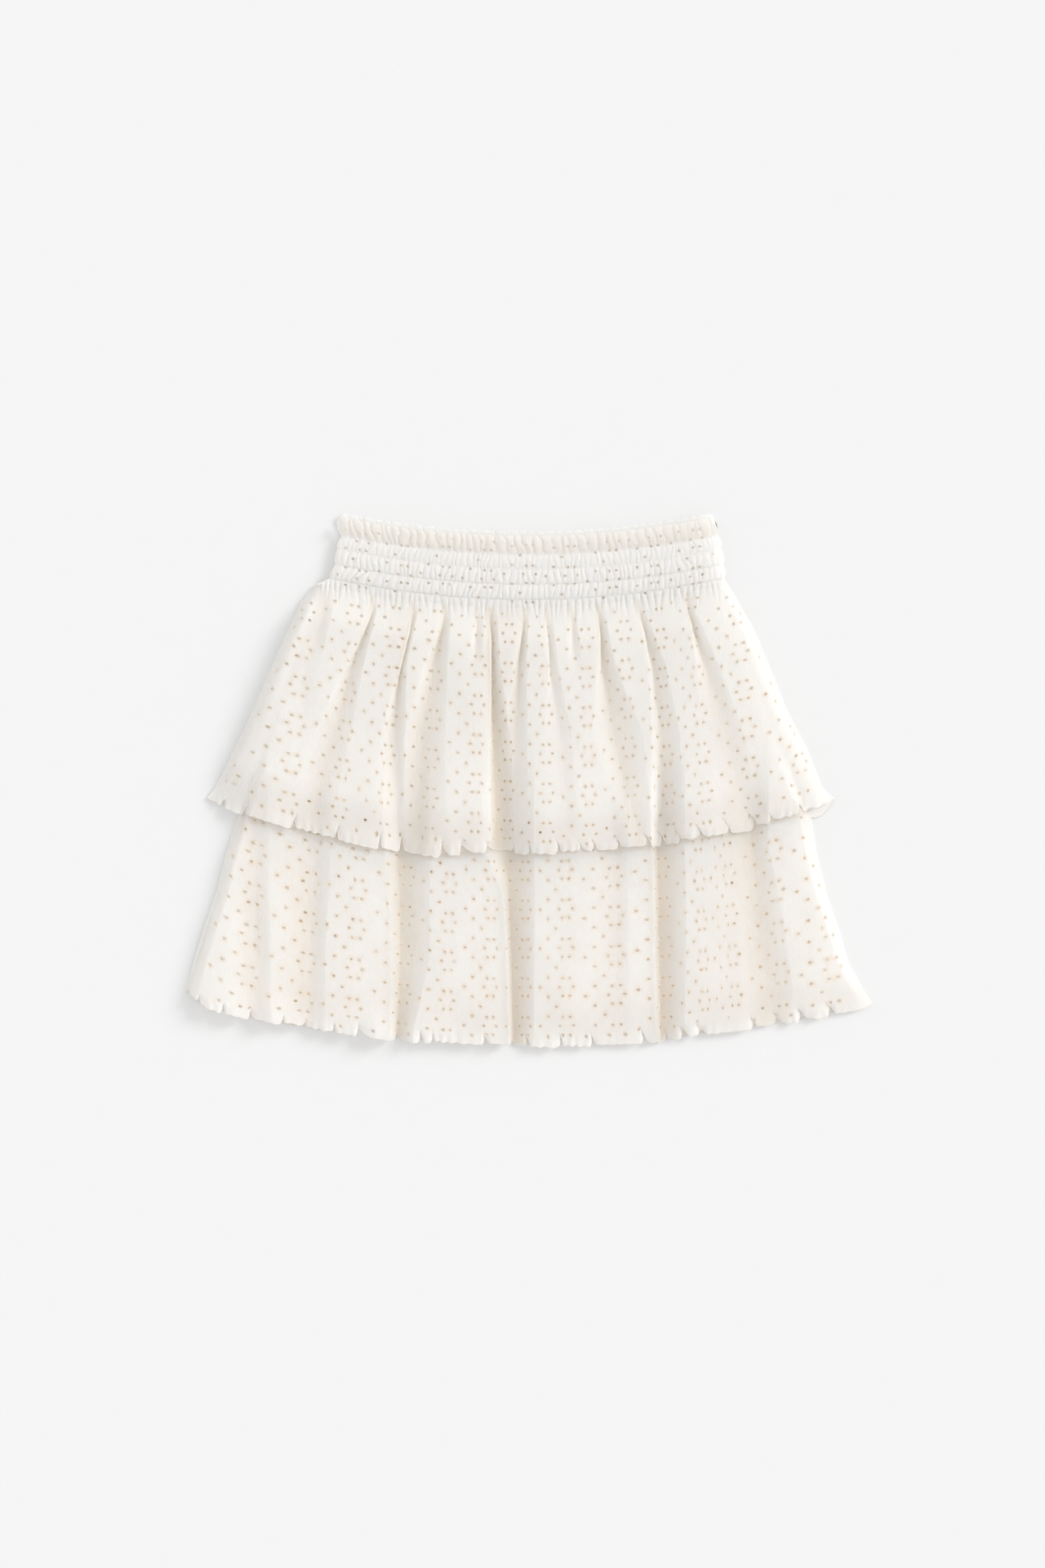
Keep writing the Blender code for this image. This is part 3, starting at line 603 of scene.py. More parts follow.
def cut_panel(panel, length, centres):
    """Flat points, triangles and hole marks of one panel."""
    drape, sides = panel.drape, panel.hole_sides
    dice = np.random.default_rng(panel.seed)
    rows = flat_rows(length, panel.bands)
    inside = [min(t, length - HAIR) for t in rows]
    pitches = [next(pitch for low, high, pitch in panel.bands if low <= t < high) for t in inside]
    outline = outline_of(drape, rows, pitches, panel.finest)
    cloud = points_inside(drape, rows, pitches, panel.finest)
    keep = np.ones(len(cloud), bool)
    turn = TURN * (np.arange(sides) + 0.5) / sides
    rings = []
    for s, t in centres:
        wide = EYELET_WIDE * dice.uniform(*EYELET_SIZES)
        high = EYELET_HIGH * dice.uniform(*EYELET_SIZES)
        rings.append(np.column_stack((s + wide * np.cos(turn), t + high * np.sin(turn))))
        first, last = np.searchsorted(cloud[:, 1], (t - NEARBY, t + NEARBY))
        near = cloud[first:last]
        room = RIM_ROOM * near[:, 2]
        close = ((near[:, 0] - s) / (wide + room)) ** 2 + ((near[:, 1] - t) / (high + room)) ** 2
        keep[first:last] &= close > 1.0

    points = np.concatenate([np.array(outline)] + rings + [cloud[keep, :2]])
    mark = np.full(len(points), -1)
    edges = [(i, (i + 1) % len(outline)) for i in range(len(outline))]
    start = len(outline)
    for number in range(len(rings)):
        mark[start:start + sides] = number
        edges += [(start + i, start + (i + 1) % sides) for i in range(sides)]
        start += sides
    made, _, faces, sources, _, _ = delaunay_2d_cdt([Vector(p) for p in points], edges, [], 1, RING_POINT)
    marks = np.array([mark[source[0]] if source else -1 for source in sources])
    faces = np.array([face for face in faces if len(face) == 3])
    rim = marks[faces]
    in_hole = (rim[:, 0] >= 0) & (rim[:, 0] == rim[:, 1]) & (rim[:, 1] == rim[:, 2])
    return np.array(made), faces[~in_hole], marks


# %% Thin cloth from a cut panel
CREASE_ANGLE = np.radians(62.0)  # the cloth's cut edges stay crisp and its folds are smooth


def add_object(name, data):
    """A new object in the scene."""
    thing = bpy.data.objects.new(name, data)
    bpy.context.scene.collection.objects.link(thing)
    return thing


def add_piece(name, points, faces, flat, material):
    """A smooth mesh object with its flat place as UV."""
    mesh = bpy.data.meshes.new(name)
    mesh.from_pydata((points * MM).tolist(), [], faces)
    vertices = np.empty(len(mesh.loops), int)
    mesh.loops.foreach_get("vertex_index", vertices)
    mesh.uv_layers.new(name="flat").data.foreach_set("uv", (flat[vertices] * MM).ravel())
    mesh.shade_smooth()
    mesh.materials.append(material)
    return add_object(name, mesh)


def cloth_object(name, drape, cut, material, floor=None, marked=()):
    """Thin cloth laid by the drape, with its hole rims and anything else that is marked on it."""
    flat, faces, marks = cut
    upper, normal = drape.place(flat[:, 0], flat[:, 1])
    lower = upper - normal * CLOTH
    if floor is not None:
        lower[:, 2] = floor(upper)
    corners = np.concatenate((faces[:, [0, 1]], faces[:, [1, 2]], faces[:, [2, 0]]))
    _, index, uses = np.unique(np.sort(corners, axis=1), axis=0, return_index=True, return_counts=True)
    border = corners[index[uses == 1]]
    laid = upper[faces]
    if np.cross(laid[:, 1] - laid[:, 0], laid[:, 2] - laid[:, 0])[:, 2].sum() < 0:
        faces, border = faces[:, ::-1], border[:, ::-1]
    count = len(flat)
    rims = np.column_stack((border[:, 1], border[:, 0], border[:, 0] + count, border[:, 1] + count))
    every = faces.tolist() + (faces[:, ::-1] + count).tolist() + rims.tolist()
    piece = add_piece(name, np.concatenate((upper, lower)), every, np.concatenate((flat, flat)), material)
    values = [("rim", (marks >= 0).astype(float))]
    values += [(mark, found(upper[:, 0], upper[:, 1])) for mark, found in marked]
    for mark, value in values:
        made = piece.data.attributes.new(mark, "FLOAT", "POINT")
        made.data.foreach_set("value", np.tile(value.astype(np.float32), 2))
    piece.data.set_sharp_from_angle(angle=CREASE_ANGLE)
    return piece


def make_cloth(panel, material, floor=None, marked=()):
    """One sheet of cloth: its holes, its flat triangles, and those laid down."""
    length = float(panel.drape.down[-1])
    centres = eyelets(panel.drape, panel.holes_from, length)
    cut = cut_panel(panel, length, centres)
    piece = cloth_object(panel.name + "_cloth", panel.drape, cut, material, floor, marked)
    print(piece.name, len(centres), "eyelets,", len(piece.data.polygons), "faces")
    return piece


# %% [markdown]
# ## Shader maths as expressions
#
# A knit shader is a page of small sums. Wrapping a socket in a class that overloads the operators lets
# each sum be written the way it would be on paper, and adds the Math nodes behind the scenes.

# %% A socket that does sums
class Value:
    """A number flowing through a material; arithmetic on it adds Math nodes."""

    def __init__(self, paint, socket):
        self.paint = paint
        self.socket = socket

    def math(self, operation, *others):
        node = self.paint.node("ShaderNodeMath", {"operation": operation}, [self, *others])
        return Value(self.paint, node.outputs[0])

    def __add__(self, other):
        return self.math("ADD", other)

    def __sub__(self, other):
        return self.math("SUBTRACT", other)

    def __rsub__(self, other):
        return self.paint.value("SUBTRACT", other, self)

    def __mul__(self, other):
        return self.math("MULTIPLY", other)

    __radd__ = __add__
    __rmul__ = __mul__

    def sine(self):
        return self.math("SINE")

    def clamp(self):
        return self.math("MAXIMUM", 0.0).math("MINIMUM", 1.0)


# %% One material and its nodes
class Paint:
    """One material and its nodes."""

    def __init__(self, name):
        self.material = bpy.data.materials.new(name)
        self.material.use_nodes = True
        self.tree = self.material.node_tree
        self.tree.nodes.clear()

    def node(self, kind, settings=None, inputs=()):
        """A node of that type: settings first, then the values or links of its sockets."""
        node = self.tree.nodes.new(kind)
        for key, value in (settings or {}).items():
            setattr(node, key, value)
        pairs = inputs.items() if isinstance(inputs, dict) else enumerate(inputs)
        for key, value in pairs:
            if isinstance(value, Value):
                value = value.socket
            if isinstance(value, bpy.types.NodeSocket):
                self.tree.links.new(value, node.inputs[key])
            elif value is not None:
                node.inputs[key].default_value = value
        return node

    def value(self, operation, *inputs):
        """A Math node on any mix of numbers and values."""
        return Value(self, self.node("ShaderNodeMath", {"operation": operation}, inputs).outputs[0])

    def noise(self, place, scale, detail=2.0):
        """Soft noise from 0 to 1."""
        found = self.node("ShaderNodeTexNoise", inputs={"Vector": place, "Scale": scale, "Detail": detail})
        return Value(self, found.outputs[0])

    def marked(self, name):
        """A number marked on the mesh, 0 where there is none."""
        return Value(self, self.node("ShaderNodeAttribute", {"attribute_name": name}).outputs["Fac"])

    def flat_place(self):
        """The place on the flat cloth, and its two coordinates in metres."""
        flat = self.node("ShaderNodeUVMap", {"uv_map": "flat"}).outputs[0]
        split = self.node("ShaderNodeSeparateXYZ", inputs=[flat])
        return flat, Value(self, split.outputs[0]), Value(self, split.outputs[1])

    def bump(self, height, strength, distance):
        """A normal that follows a height."""
        inputs = {"Strength": strength, "Distance": distance, "Height": height}
        return self.node("ShaderNodeBump", inputs=inputs).outputs[0]

    def stretched(self, place, scale):
        """A place scaled by different amounts across and down."""
        return self.node("ShaderNodeMapping", inputs={0: place, 3: scale}).outputs[0]

    def blend(self, share, one, two):
        """Colour one at share 0 and two at share 1."""
        mixed = self.node("ShaderNodeMix", {"data_type": "RGBA"}, {0: share, 6: one, 7: two})
        return mixed.outputs[2]

    def cloth(self, colour, rough, bump, through):
        """Matt cloth that lets a share of the light through."""
        face = self.node("ShaderNodeBsdfPrincipled", inputs={
            "Base Color": colour, "Roughness": rough, "Metallic": 0.0, "Specular IOR Level": 0.2,
            "Sheen Weight": 0.1, "Sheen Roughness": 0.5, "Normal": bump})
        glow = self.node("ShaderNodeBsdfTranslucent", inputs={"Color": THROUGH, "Normal": bump})
        mixed = self.node("ShaderNodeMixShader", inputs=[through, face.outputs[0], glow.outputs[0]])
        return self.done(mixed)

    def done(self, shader):
        self.node("ShaderNodeOutputMaterial", inputs={"Surface": shader.outputs[0]})
        return self.material


# %% [markdown]
# ## The jersey
#
# Cotton jersey is matt, a little warm, and made of fine vertical wales. Light also leaks through it, and a
# Translucent shader mixed into a Principled one gives that leak. The tan of the eyelets and the warmer,
# darker deep folds are painted shade in the colour, read from marks on the mesh. The wales, the fuzz and
# the soft blotches of the yarn are sums on the cloth's flat place.

# %% Jersey material
CREAM = (0.985, 0.984, 0.980, 1.0)
CREAM_WARM = (0.979, 0.973, 0.957, 1.0)
THROUGH = (0.986, 0.981, 0.969, 1.0)
PAINTED_SHADE_TAN = (0.800, 0.712, 0.592, 1.0)  # painted shade in folds, under the upper hem, on the frill and between thread wraps; a faint share tones the band
PAINTED_EDGE_SHADE = (0.680, 0.665, 0.640, 1.0)  # painted shade along a crown's edge, and over the frill
PAINTED_EYELET_SHADE = (0.945, 0.815, 0.670, 1.0)  # painted shade at an eyelet's rim and on layers seen through the holes
# Shares of painted shade: at eyelet rims, on covered layers, in folds and on the frill (warm, then grey);
# the band's share is a faint warm tone all over it
RIM_PAINTED_SHADE, COVERED_PAINTED_SHADE, FOLD_PAINTED_SHADE, FRILL_WARM_PAINTED_SHADE = 0.9, 0.12, 0.85, 0.40
BAND_TAN, FRILL_GREY_PAINTED_SHADE = 0.07, 0.10
CLOTH_THROUGH, BAND_THROUGH = 0.67, 0.60  # share of the light that each face lets through
COVERED_THROUGH = 0.40
WALE = 0.00095  # spacing of the knit's columns in metres
COURSE = 0.00075  # spacing of its rows


def jersey(name, crinkle, through):
    """Cream pointelle jersey; crinkle adds the fine creases of cloth on elastic."""
    paint = Paint(name)
    flat, s, t = paint.flat_place()
    stitch = (t * (TURN / COURSE)).sine()
    wale = (s * (TURN / WALE) + stitch * 0.7).sine()
    fuzz = paint.noise(flat, 2600.0, 3.0)
    blotch = paint.noise(flat, 42.0, 3.0)
    streak = paint.noise(paint.stretched(flat, (900.0, 60.0, 1.0)), 1.0)
    crease = paint.noise(paint.stretched(flat, (420.0, 90.0, 1.0)), 1.0, 3.0)
    rim, covered = paint.marked("rim"), paint.marked("covered")
    height = wale * 0.25 + stitch * 0.08 + fuzz * 0.9 + rim * 0.5 + crease * crinkle
    bump = paint.bump(height, 0.35, 0.00035)
    warm = ((blotch - 0.42) * 1.2 + (streak - 0.5) * 0.6 + (fuzz - 0.5) * 0.4).clamp()
    rough = (fuzz * 0.12 + 0.84).clamp()
    # painted shade: warm tan in folds, under the upper hem and on the frill, over a faint warm tone on the
    # band
    colour = paint.blend(paint.marked("tone_and_painted_shade").clamp(), paint.blend(warm, CREAM, CREAM_WARM), PAINTED_SHADE_TAN)
    # painted shade along crowns' edges and over the frill
    colour = paint.blend(paint.marked("edge").clamp(), colour, PAINTED_EDGE_SHADE)
    # painted shade at eyelet rims and on covered layers seen through the holes
    colour = paint.blend((rim * RIM_PAINTED_SHADE + covered * COVERED_PAINTED_SHADE).clamp(), colour, PAINTED_EYELET_SHADE)
    through = (covered * (COVERED_THROUGH - through) + through).clamp()
    return paint.cloth(colour, rough, bump, through)


jersey_cloth = jersey("eyelet_jersey", 0.6, CLOTH_THROUGH)
shirred_cloth = jersey("shirred_jersey", 5.0, BAND_THROUGH)
print("made", jersey_cloth.name, "and", shirred_cloth.name)

# %% [markdown]
# ## The tiers
#
# A tier is laid from its lines, its folds and its hem. The needle gathers the waist into small puckers
# that run across the seam and die out within a thumb's width, so band and tier share one function for
# them. At the side seams and in the slots the cloth settles onto the layer below.

# %% Puckers and swells
GRID_DOWN, GRID_ACROSS = 1.0, 0.4  # fine grid of a front, in millimetres
BACK_DOWN, BACK_ACROSS = 2.0, 1.0  # coarser grid of a back
WIDTHS = (0.6, 1.4)  # least and most width of a gather, against the mean
PUCKER, PUCKERS, PUCKER_SEED = 1.4, 70, 12
PUCKER_LEAN, PUCKER_REACH, PUCKER_SHARE = (-0.04, 0.04), (5.0, 18.0), (0.5, 1.2)
PUCKER_TOP, PUCKER_MEAN = 0.6, 0.6  # power that rounds a pucker's top, and its mean height
PUCKER_PAST = 6.0  # the puckers go on this far past the seam's ends
UPPER_LENGTH, SHOWN_LENGTH = 164.0, 130.0
LOWER_LENGTH = UPPER_LENGTH + SHOWN_LENGTH
SWELLS, SWELL_TURN, SWELL_LONG, SWELL_HIGH = 7, (-0.5, 0.5), (22.0, 60.0), (0.05, 0.16)


def puckers(x, y):
    """Fine gathers on both sides of the waist seam."""
    dice = np.random.default_rng(PUCKER_SEED)
    below = seam_y(x) - y
    widths = dice.uniform(*WIDTHS, PUCKERS)
    half = SEAM_HALF + PUCKER_PAST
    edges = SEAM_CENTRE - half + 2.0 * half * np.cumsum(widths) / widths.sum()
    numbers = np.arange(PUCKERS)

    def uneven(span):
        return np.interp(phase, numbers, dice.uniform(*span, PUCKERS))

    phase = np.interp(x, edges, numbers)
    phase = phase + uneven(PUCKER_LEAN) * below
    reach = uneven(PUCKER_REACH)
    form = np.abs(np.sin(np.pi * phase)) ** PUCKER_TOP - PUCKER_MEAN
    return PUCKER * uneven(PUCKER_SHARE) * form * smooth(1.0 - below.clip(0.0) / reach)


def swell(x, y, seed):
    """Very soft unevenness of cloth that was smoothed by hand."""
    dice = np.random.default_rng(seed)
    z = np.zeros_like(x)
    for _ in range(SWELLS):
        angle = dice.uniform(*SWELL_TURN)
        along = x * np.cos(angle) + y * np.sin(angle)
        wave = np.sin(TURN * along / dice.uniform(*SWELL_LONG) + dice.uniform(0.0, TURN))
        z = z + wave * dice.uniform(*SWELL_HIGH)
    return z


# %% Laying the fronts
def panel_grid(length, sides, down_step, across_step):
    """p and v of a tier's grid, and the distances down."""
    down = np.linspace(0.0, length, int(length / down_step) + 1)
    v = np.where(down < UPPER_LENGTH, down / UPPER_LENGTH, 1.0 + (down - UPPER_LENGTH) / SHOWN_LENGTH)
    width = sides[-1].right - sides[-1].left
    p, v = np.meshgrid(np.linspace(0.0, 1.0, int(width / across_step)), v)
    return p, v, down


def lay_front(points, under, length, sides, hem, waves, folds, lean_from, columns, fan, seed):
    """The drape of a front tier, whose crowns lean over its sharp valleys below the height lean_from."""
    p, v, down = panel_grid(length, sides, GRID_DOWN, GRID_ACROSS)
    x, y = points(p, v)
    hang, lift, tilt, slot, slot_length = hem_waves(waves, sides[-1].left, p)
    to_hem = y - hem_y(hem, p)
    near_hem = smooth(1.0 - to_hem / HEM_RUN)
    open_slot = slot * smooth(1.0 - to_hem / slot_length)
    inside = smooth(to_side(sides, x, y) / SIDE_RUN)
    settle = SETTLE * np.maximum(smooth(1.0 - to_side(sides, x, y) / SETTLE_RUN), near_hem)
    extra = puckers(x, y) + swell(x, y, seed) * inside * smooth(to_hem / HEM_RUN)
    leaning = x + overhang(folds, x, y) * smooth((lean_from(x) - y) / TOP_RUN)
    plain = np.stack((leaning, y, under(x, y) + WALL), axis=-1)
    edge = ripple(x) * smooth(1.0 - to_hem / RIPPLE_RUN) * inside
    sink = np.minimum(SLOT_SINK * lift, SLOT_DROP) * open_slot
    lift = lift + tilt * smooth(1.0 - to_hem / TILT_RUN) - sink + RIPPLE_UP * edge
    z = under(x, y, lift, near_hem) + WALL - settle + extra
    out = hang * smooth(1.0 - to_hem / SCALLOP_RUN) ** 3 * inside + RIPPLE_OUT * edge
    return Drape(np.stack((leaning, y - out, z), axis=-1), plain, down, columns, fan)


# %% Laying the backs
PEEK_LEFT, PEEK_RIGHT, PEEK = 180.0, 206.0, 9.0  # the upper back hem shows past the front's right corner
BACK_INSET, BACK_WAVE = 1.0, 19.0  # the back's plain hem stays this far in, in waves of this length
BACK_ROUND, PEEK_ROUND = 0.7, 0.8  # powers that round those waves, and what shows at the corner
WINDOW_AT, WINDOW_HALF, WINDOW_HIGH = -110.0, 8.0, 4.0  # an open slot of the front hem looks past it here


def lay_back(points, under, length, sides, peek, columns):
    """The drape of a back tier."""
    p, v, down = panel_grid(length, sides, BACK_DOWN, BACK_ACROSS)
    x, y = points(p, v)
    near_hem = smooth(1.0 - (length - down)[:, None] / HEM_RUN)
    inside = smooth(to_side(sides, x, y) / SIDE_RUN) * (1.0 - near_hem)
    inset = BACK_INSET * (1.0 - np.abs(np.sin(np.pi * x / BACK_WAVE)) ** BACK_ROUND)
    inset = inset + WINDOW_HIGH * np.exp(-((x - WINDOW_AT) / WINDOW_HALF) ** 2)
    share = np.clip((x - PEEK_LEFT) / (PEEK_RIGHT - PEEK_LEFT), 0.0, 1.0)
    y = y + (inset - peek * np.sin(np.pi * share) ** PEEK_ROUND) * near_hem
    z = under(x, y) + back_crease(x, y) * inside + CLOTH
    laid = np.stack((x, y, z), axis=-1)
    return Drape(laid, laid, down, columns, (0.0, 0.0))


# %% The four tiers
def table_top(x, y):
    """Underside of the back upper tier."""
    return np.zeros_like(x)


SHOW_EARLY = 12.0  # the lower tier is given its full form from this far above the upper hem


def shown_from(x):
    """Height from where the lower tier shows."""
    return upper_hem_y(x) + SHOW_EARLY


upper_front = lay_front(upper_points, front_upper_under, UPPER_LENGTH, UPPER_SIDES, UPPER_HEM, UPPER_WAVES,
                        UPPER_FOLDS, seam_y, UPPER_COLUMNS, UPPER_FAN, 11)
lower_front = lay_front(lower_points, front_lower_under, LOWER_LENGTH, LOWER_SIDES, LOWER_HEM, LOWER_WAVES,
                        LOWER_FOLDS, shown_from, LOWER_COLUMNS, LOWER_FAN, 21)
upper_back = lay_back(upper_points, table_top, UPPER_LENGTH, UPPER_SIDES, PEEK,
                      even_columns(31.0, 14, 30.0, 3.0))
lower_back = lay_back(lower_points, back_lower_under, LOWER_LENGTH, LOWER_SIDES, 0.0,
                      even_columns(31.0, 16, -90.0, 3.0))
for name, drape in (("upper", upper_front), ("lower", lower_front)):
    print(name, "tier, flat:", [round(value) for value in drape.size()[:2]], "mm")

# %% [markdown]
# Shade is painted into the cloth's colour where light is lost between layers. The cloth carries marks that
# the material reads for it: how deep in a fold a point lies, how near to the edge of a crown, and whether
# another layer covers it.

# %% Painted shade in folds and under the hems
HEM_PAINTED_SHADOW, HIDDEN_PAINTED_SHADE, HEM_SHADE = 0.6, 0.3, 2.6  # painted shadow under the upper hem, painted shade further up, and the shadow's reach below the hem
HEM_SHADOW_TO, HEM_SHADOW_RUN = 24.0, 8.0  # the painted shadow under the hem ends this far above its crests
COVER_RUN = 6.0  # the lower tier's covered look begins over this length above the hem's crests
HOLLOW_EARLY, HOLLOW_POWER = 0.8, 1.5  # the painted fold shade already starts this far before a crown's fall
# painted shade on the back lower tier, below this height
BACK_HEM_PAINTED_SHADE, BACK_HEM_FROM = 0.35, -140.0


def upper_painted_shade(x, y):
    """Painted shade on the upper tier: how deep in a fold its points lie."""
    return FOLD_PAINTED_SHADE * (1.0 - valleys(UPPER_FOLDS, x + HOLLOW_EARLY, y)) ** HOLLOW_POWER


def lower_painted_shade(x, y):
    """Painted shade on the lower tier: in its folds, under the upper hem, and where the upper tier covers
    it.
    """
    above = y - crest_y(x)
    near_hem = smooth((HEM_SHADOW_TO - above) / HEM_SHADOW_RUN)
    shade = mix(HIDDEN_PAINTED_SHADE, HEM_PAINTED_SHADOW, near_hem) * smooth(1.0 + above / HEM_SHADE)
    return np.maximum(FOLD_PAINTED_SHADE * (1.0 - valleys(LOWER_FOLDS, x + HOLLOW_EARLY, y)) ** HOLLOW_POWER, shade)


def lower_covered(x, y):
    """1 where the lower tier lies under the upper one."""
    return smooth((y - crest_y(x)) / COVER_RUN)


def everywhere(x, y):
    """1 all over a back tier, which lies under the front."""
    return np.ones_like(x)


def back_hem_painted_shade(x, y):
    """Painted shade on the back lower tier near its hem, where the front's slots show it."""
    return BACK_HEM_PAINTED_SHADE * (y < BACK_HEM_FROM)


MARKED = {"upper_tier_front": [("tone_and_painted_shade", upper_painted_shade)],
          "lower_tier_front": [("tone_and_painted_shade", lower_painted_shade), ("edge", lower_edge_painted_shade), ("covered", lower_covered)],
          "upper_tier_back": [("covered", everywhere)],
          "lower_tier_back": [("covered", everywhere), ("tone_and_painted_shade", back_hem_painted_shade)]}
print("marked:", {name: [mark for mark, _ in marks] for name, marks in MARKED.items()})

# %% [markdown]
# Now the panels are cut. The part of a lower tier that the upper one hides needs neither close points nor
# eyelets, so its rows are far apart until just above the upper hem.

# %% Cutting the tiers
SHOWN_FROM = UPPER_LENGTH - 26.0
END = 999.0  # past the end of any panel
PANELS = table_of(Panel, (
    ("upper_tier_front", upper_front, ((0, 26, 1.4), (26, 147, 2.0), (147, END, 1.2)), 0.0, 10, 0.55, 3),
    ("lower_tier_front", lower_front, ((0, SHOWN_FROM, 5.0), (SHOWN_FROM, 277, 2.2), (277, END, 1.3)),
     SHOWN_FROM, 10, 0.7, 4),
    ("upper_tier_back", upper_back, ((0, END, 3.6),), 0.0, 8, 1.2, 5),
    ("lower_tier_back", lower_back, ((0, SHOWN_FROM, 6.0), (SHOWN_FROM, END, 3.6)), SHOWN_FROM, 8, 1.2, 6),
))


def flat_under(upper):
    """Underside of cloth that lies flat: its own thickness below its face."""
    return upper[:, 2] - CLOTH


cloth = {}
for panel in PANELS:
    floor = flat_under if panel.name.endswith("back") else None
    cloth[panel.name] = make_cloth(panel, jersey_cloth, floor, MARKED[panel.name])

# %% [markdown]
# ## Rolled hems
#
# The overlocker wraps the edge in thread, which leaves a firm round cord of stitches less than a
# millimetre thick. A tube is swept along the edge, its radius rising and falling once for each wrap of the
# thread.

# %% Sweeping the rolled hem
BEAD, BEAD_SIDES, BEAD_STEP = 0.42, 8, 0.6  # radius of the rolled edge, its sides and the step along it
WRAP, WRAP_HIGH = 1.5, 0.10  # spacing of the thread's wraps, and their share of the radius
BLUNT_END = 0.05  # share of the radius that is left at the cord's ends
ON_TABLE = 0.02  # cloth lies this far above the table


def thread_material():
    """Overlock thread: the cloth's cream in slanted wraps, with painted shade between them."""
    paint = Paint("hem_thread")
    flat, along, around = paint.flat_place()
    wraps = (along * (TURN / (WRAP * MM)) + around * 2500.0).sine()
    height = wraps * 0.6 + paint.noise(flat, 3000.0) * 0.4
    # painted shade in the grooves between the wraps, over a faint warm tone
    colour = paint.blend((0.5 - wraps * 0.5).clamp() * 0.4 + 0.2, CREAM_WARM, PAINTED_SHADE_TAN)
    return paint.cloth(colour, 0.8, paint.bump(height, 0.5, 0.0003), 0.6)


hem_thread = thread_material()
print("made", hem_thread.name)


# %% A cord along a line
def bead(name, line, radius, material):
    """A round cord along a line of points."""
    lengths = lengths_along(line)
    places = np.linspace(0.0, lengths[-1], int(lengths[-1] / BEAD_STEP) + 1)
    line = np.column_stack([np.interp(places, lengths, line[:, axis]) for axis in range(3)])
    ahead = np.gradient(line, axis=0)
    ahead /= np.linalg.norm(ahead, axis=1, keepdims=True)
    out = np.cross(ahead, (0.0, 0.0, 1.0))
    out /= np.linalg.norm(out, axis=1, keepdims=True)
    up = np.cross(out, ahead)
    turn = TURN * np.arange(BEAD_SIDES) / BEAD_SIDES
    wraps = 1.0 + WRAP_HIGH * np.sin(TURN * places[:, None] / WRAP + turn[None, :])
    ends = np.sqrt(np.clip(np.minimum(places, lengths[-1] - places) / radius, BLUNT_END, 1.0))
    thick = (radius * wraps * ends[:, None])[:, :, None]
    around = np.cos(turn)[:, None] * out[:, None] + np.sin(turn)[:, None] * up[:, None]
    rings = line[:, None] + thick * around
    rings[:, :, 2] = np.maximum(rings[:, :, 2], ON_TABLE)
    count = len(places)
    faces = []
    for a in range(0, (count - 1) * BEAD_SIDES, BEAD_SIDES):
        for j in range(BEAD_SIDES):
            k = (j + 1) % BEAD_SIDES
            faces.append((a + j, a + k, a + k + BEAD_SIDES, a + j + BEAD_SIDES))
    faces.append(tuple(range(BEAD_SIDES))[::-1])
    faces.append(tuple((count - 1) * BEAD_SIDES + j for j in range(BEAD_SIDES)))
    flat = np.column_stack((np.repeat(places, BEAD_SIDES), np.tile(turn * radius, count)))
    return add_piece(name, rings.reshape(-1, 3), faces, flat, material)


hems = {}
for panel in PANELS:
    edge = panel.drape.laid[-1] - panel.drape.normal[-1] * CLOTH / 2
    hem = bead(panel.name + "_hem", edge, BEAD, hem_thread)
    hems[panel.name] = hem
    print(hem.name, len(hem.data.polygons), "faces")

# %% [markdown]
# ## The shirred waistband
#
# Four rows of elastic thread draw the cloth in. Between two rows it puffs out in a soft roll, broken into
# uneven gathers three to six millimetres apart that never line up from one roll to the next. Above the top
# row the cloth is free and stands as a frill. The same eyelets run through all of it.

# %% Rolls and gathers
Line = namedtuple("Line", "y rise half centre height")
BAND_LINES = table_of(Line, (  # the frill's edge, four rows of elastic, and the seam
    (162.5, 13.0, 125.0, -2.3, 4.8), (150.7, 12.5, 126.2, 0.2, 2.3), (140.8, 14.0, 128.6, -0.2, 2.6),
    (130.5, 13.5, 130.2, -0.2, 2.7), (120.5, 14.5, 132.6, -1.6, 2.7), (114.9, 16.0, 138.0, -5.0, 2.7),
))
TOP_ROW, LAST_ROW = BAND_LINES[1], BAND_LINES[4]
Roll = namedtuple("Roll", "puff gathers depth right bulge seed")  # right is the depth left over there
ROLLS = table_of(Roll, (
    (0.9, 46, 1.7, 0.5, 1.6, 31), (1.0, 74, 0.9, 0.9, 1.2, 32), (1.2, 66, 1.25, 0.9, 0.9, 33),
    (1.2, 66, 1.25, 0.9, 0.8, 34), (0.3, 66, 0.0, 1.0, 0.0, 35),
))
BAND_DOWN, BAND_ACROSS = 0.5, 0.3
GATHER_TOP, GATHER_MEAN = 0.42, 0.65  # power that rounds a gather's top, and its mean height
GATHER_LEAN, GATHER_SWAY, GATHER_SHARE = (-0.6, 0.6), (-0.2, 0.2), (0.6, 1.2)
ROLL_ROUND, REACH_ROUND = 0.5, 0.6  # powers that round a roll, and its gathers' height across it
ROLL_REACH, FRILL_REACH = 0.35, (1.1, 0.4)  # their height at a row, and at the frill's edge and its row
ROW_BLEND = 2.0  # a row of elastic parts two looks of the cloth over this height
SIDE_POWER, SIDE_HEIGHT = 40, 0.7  # the band keeps its height up to its sides, and sinks to this share
CORNER_FROM, CORNER_WIDE, CORNER_DROP = 0.95, 0.05, 6.5  # the frill's rounded corners
SCALLOP_OUT, SCALLOP_TO, SCALLOP_DOWN = 1.3, 0.4, 0.7  # the frill's edge follows its gathers


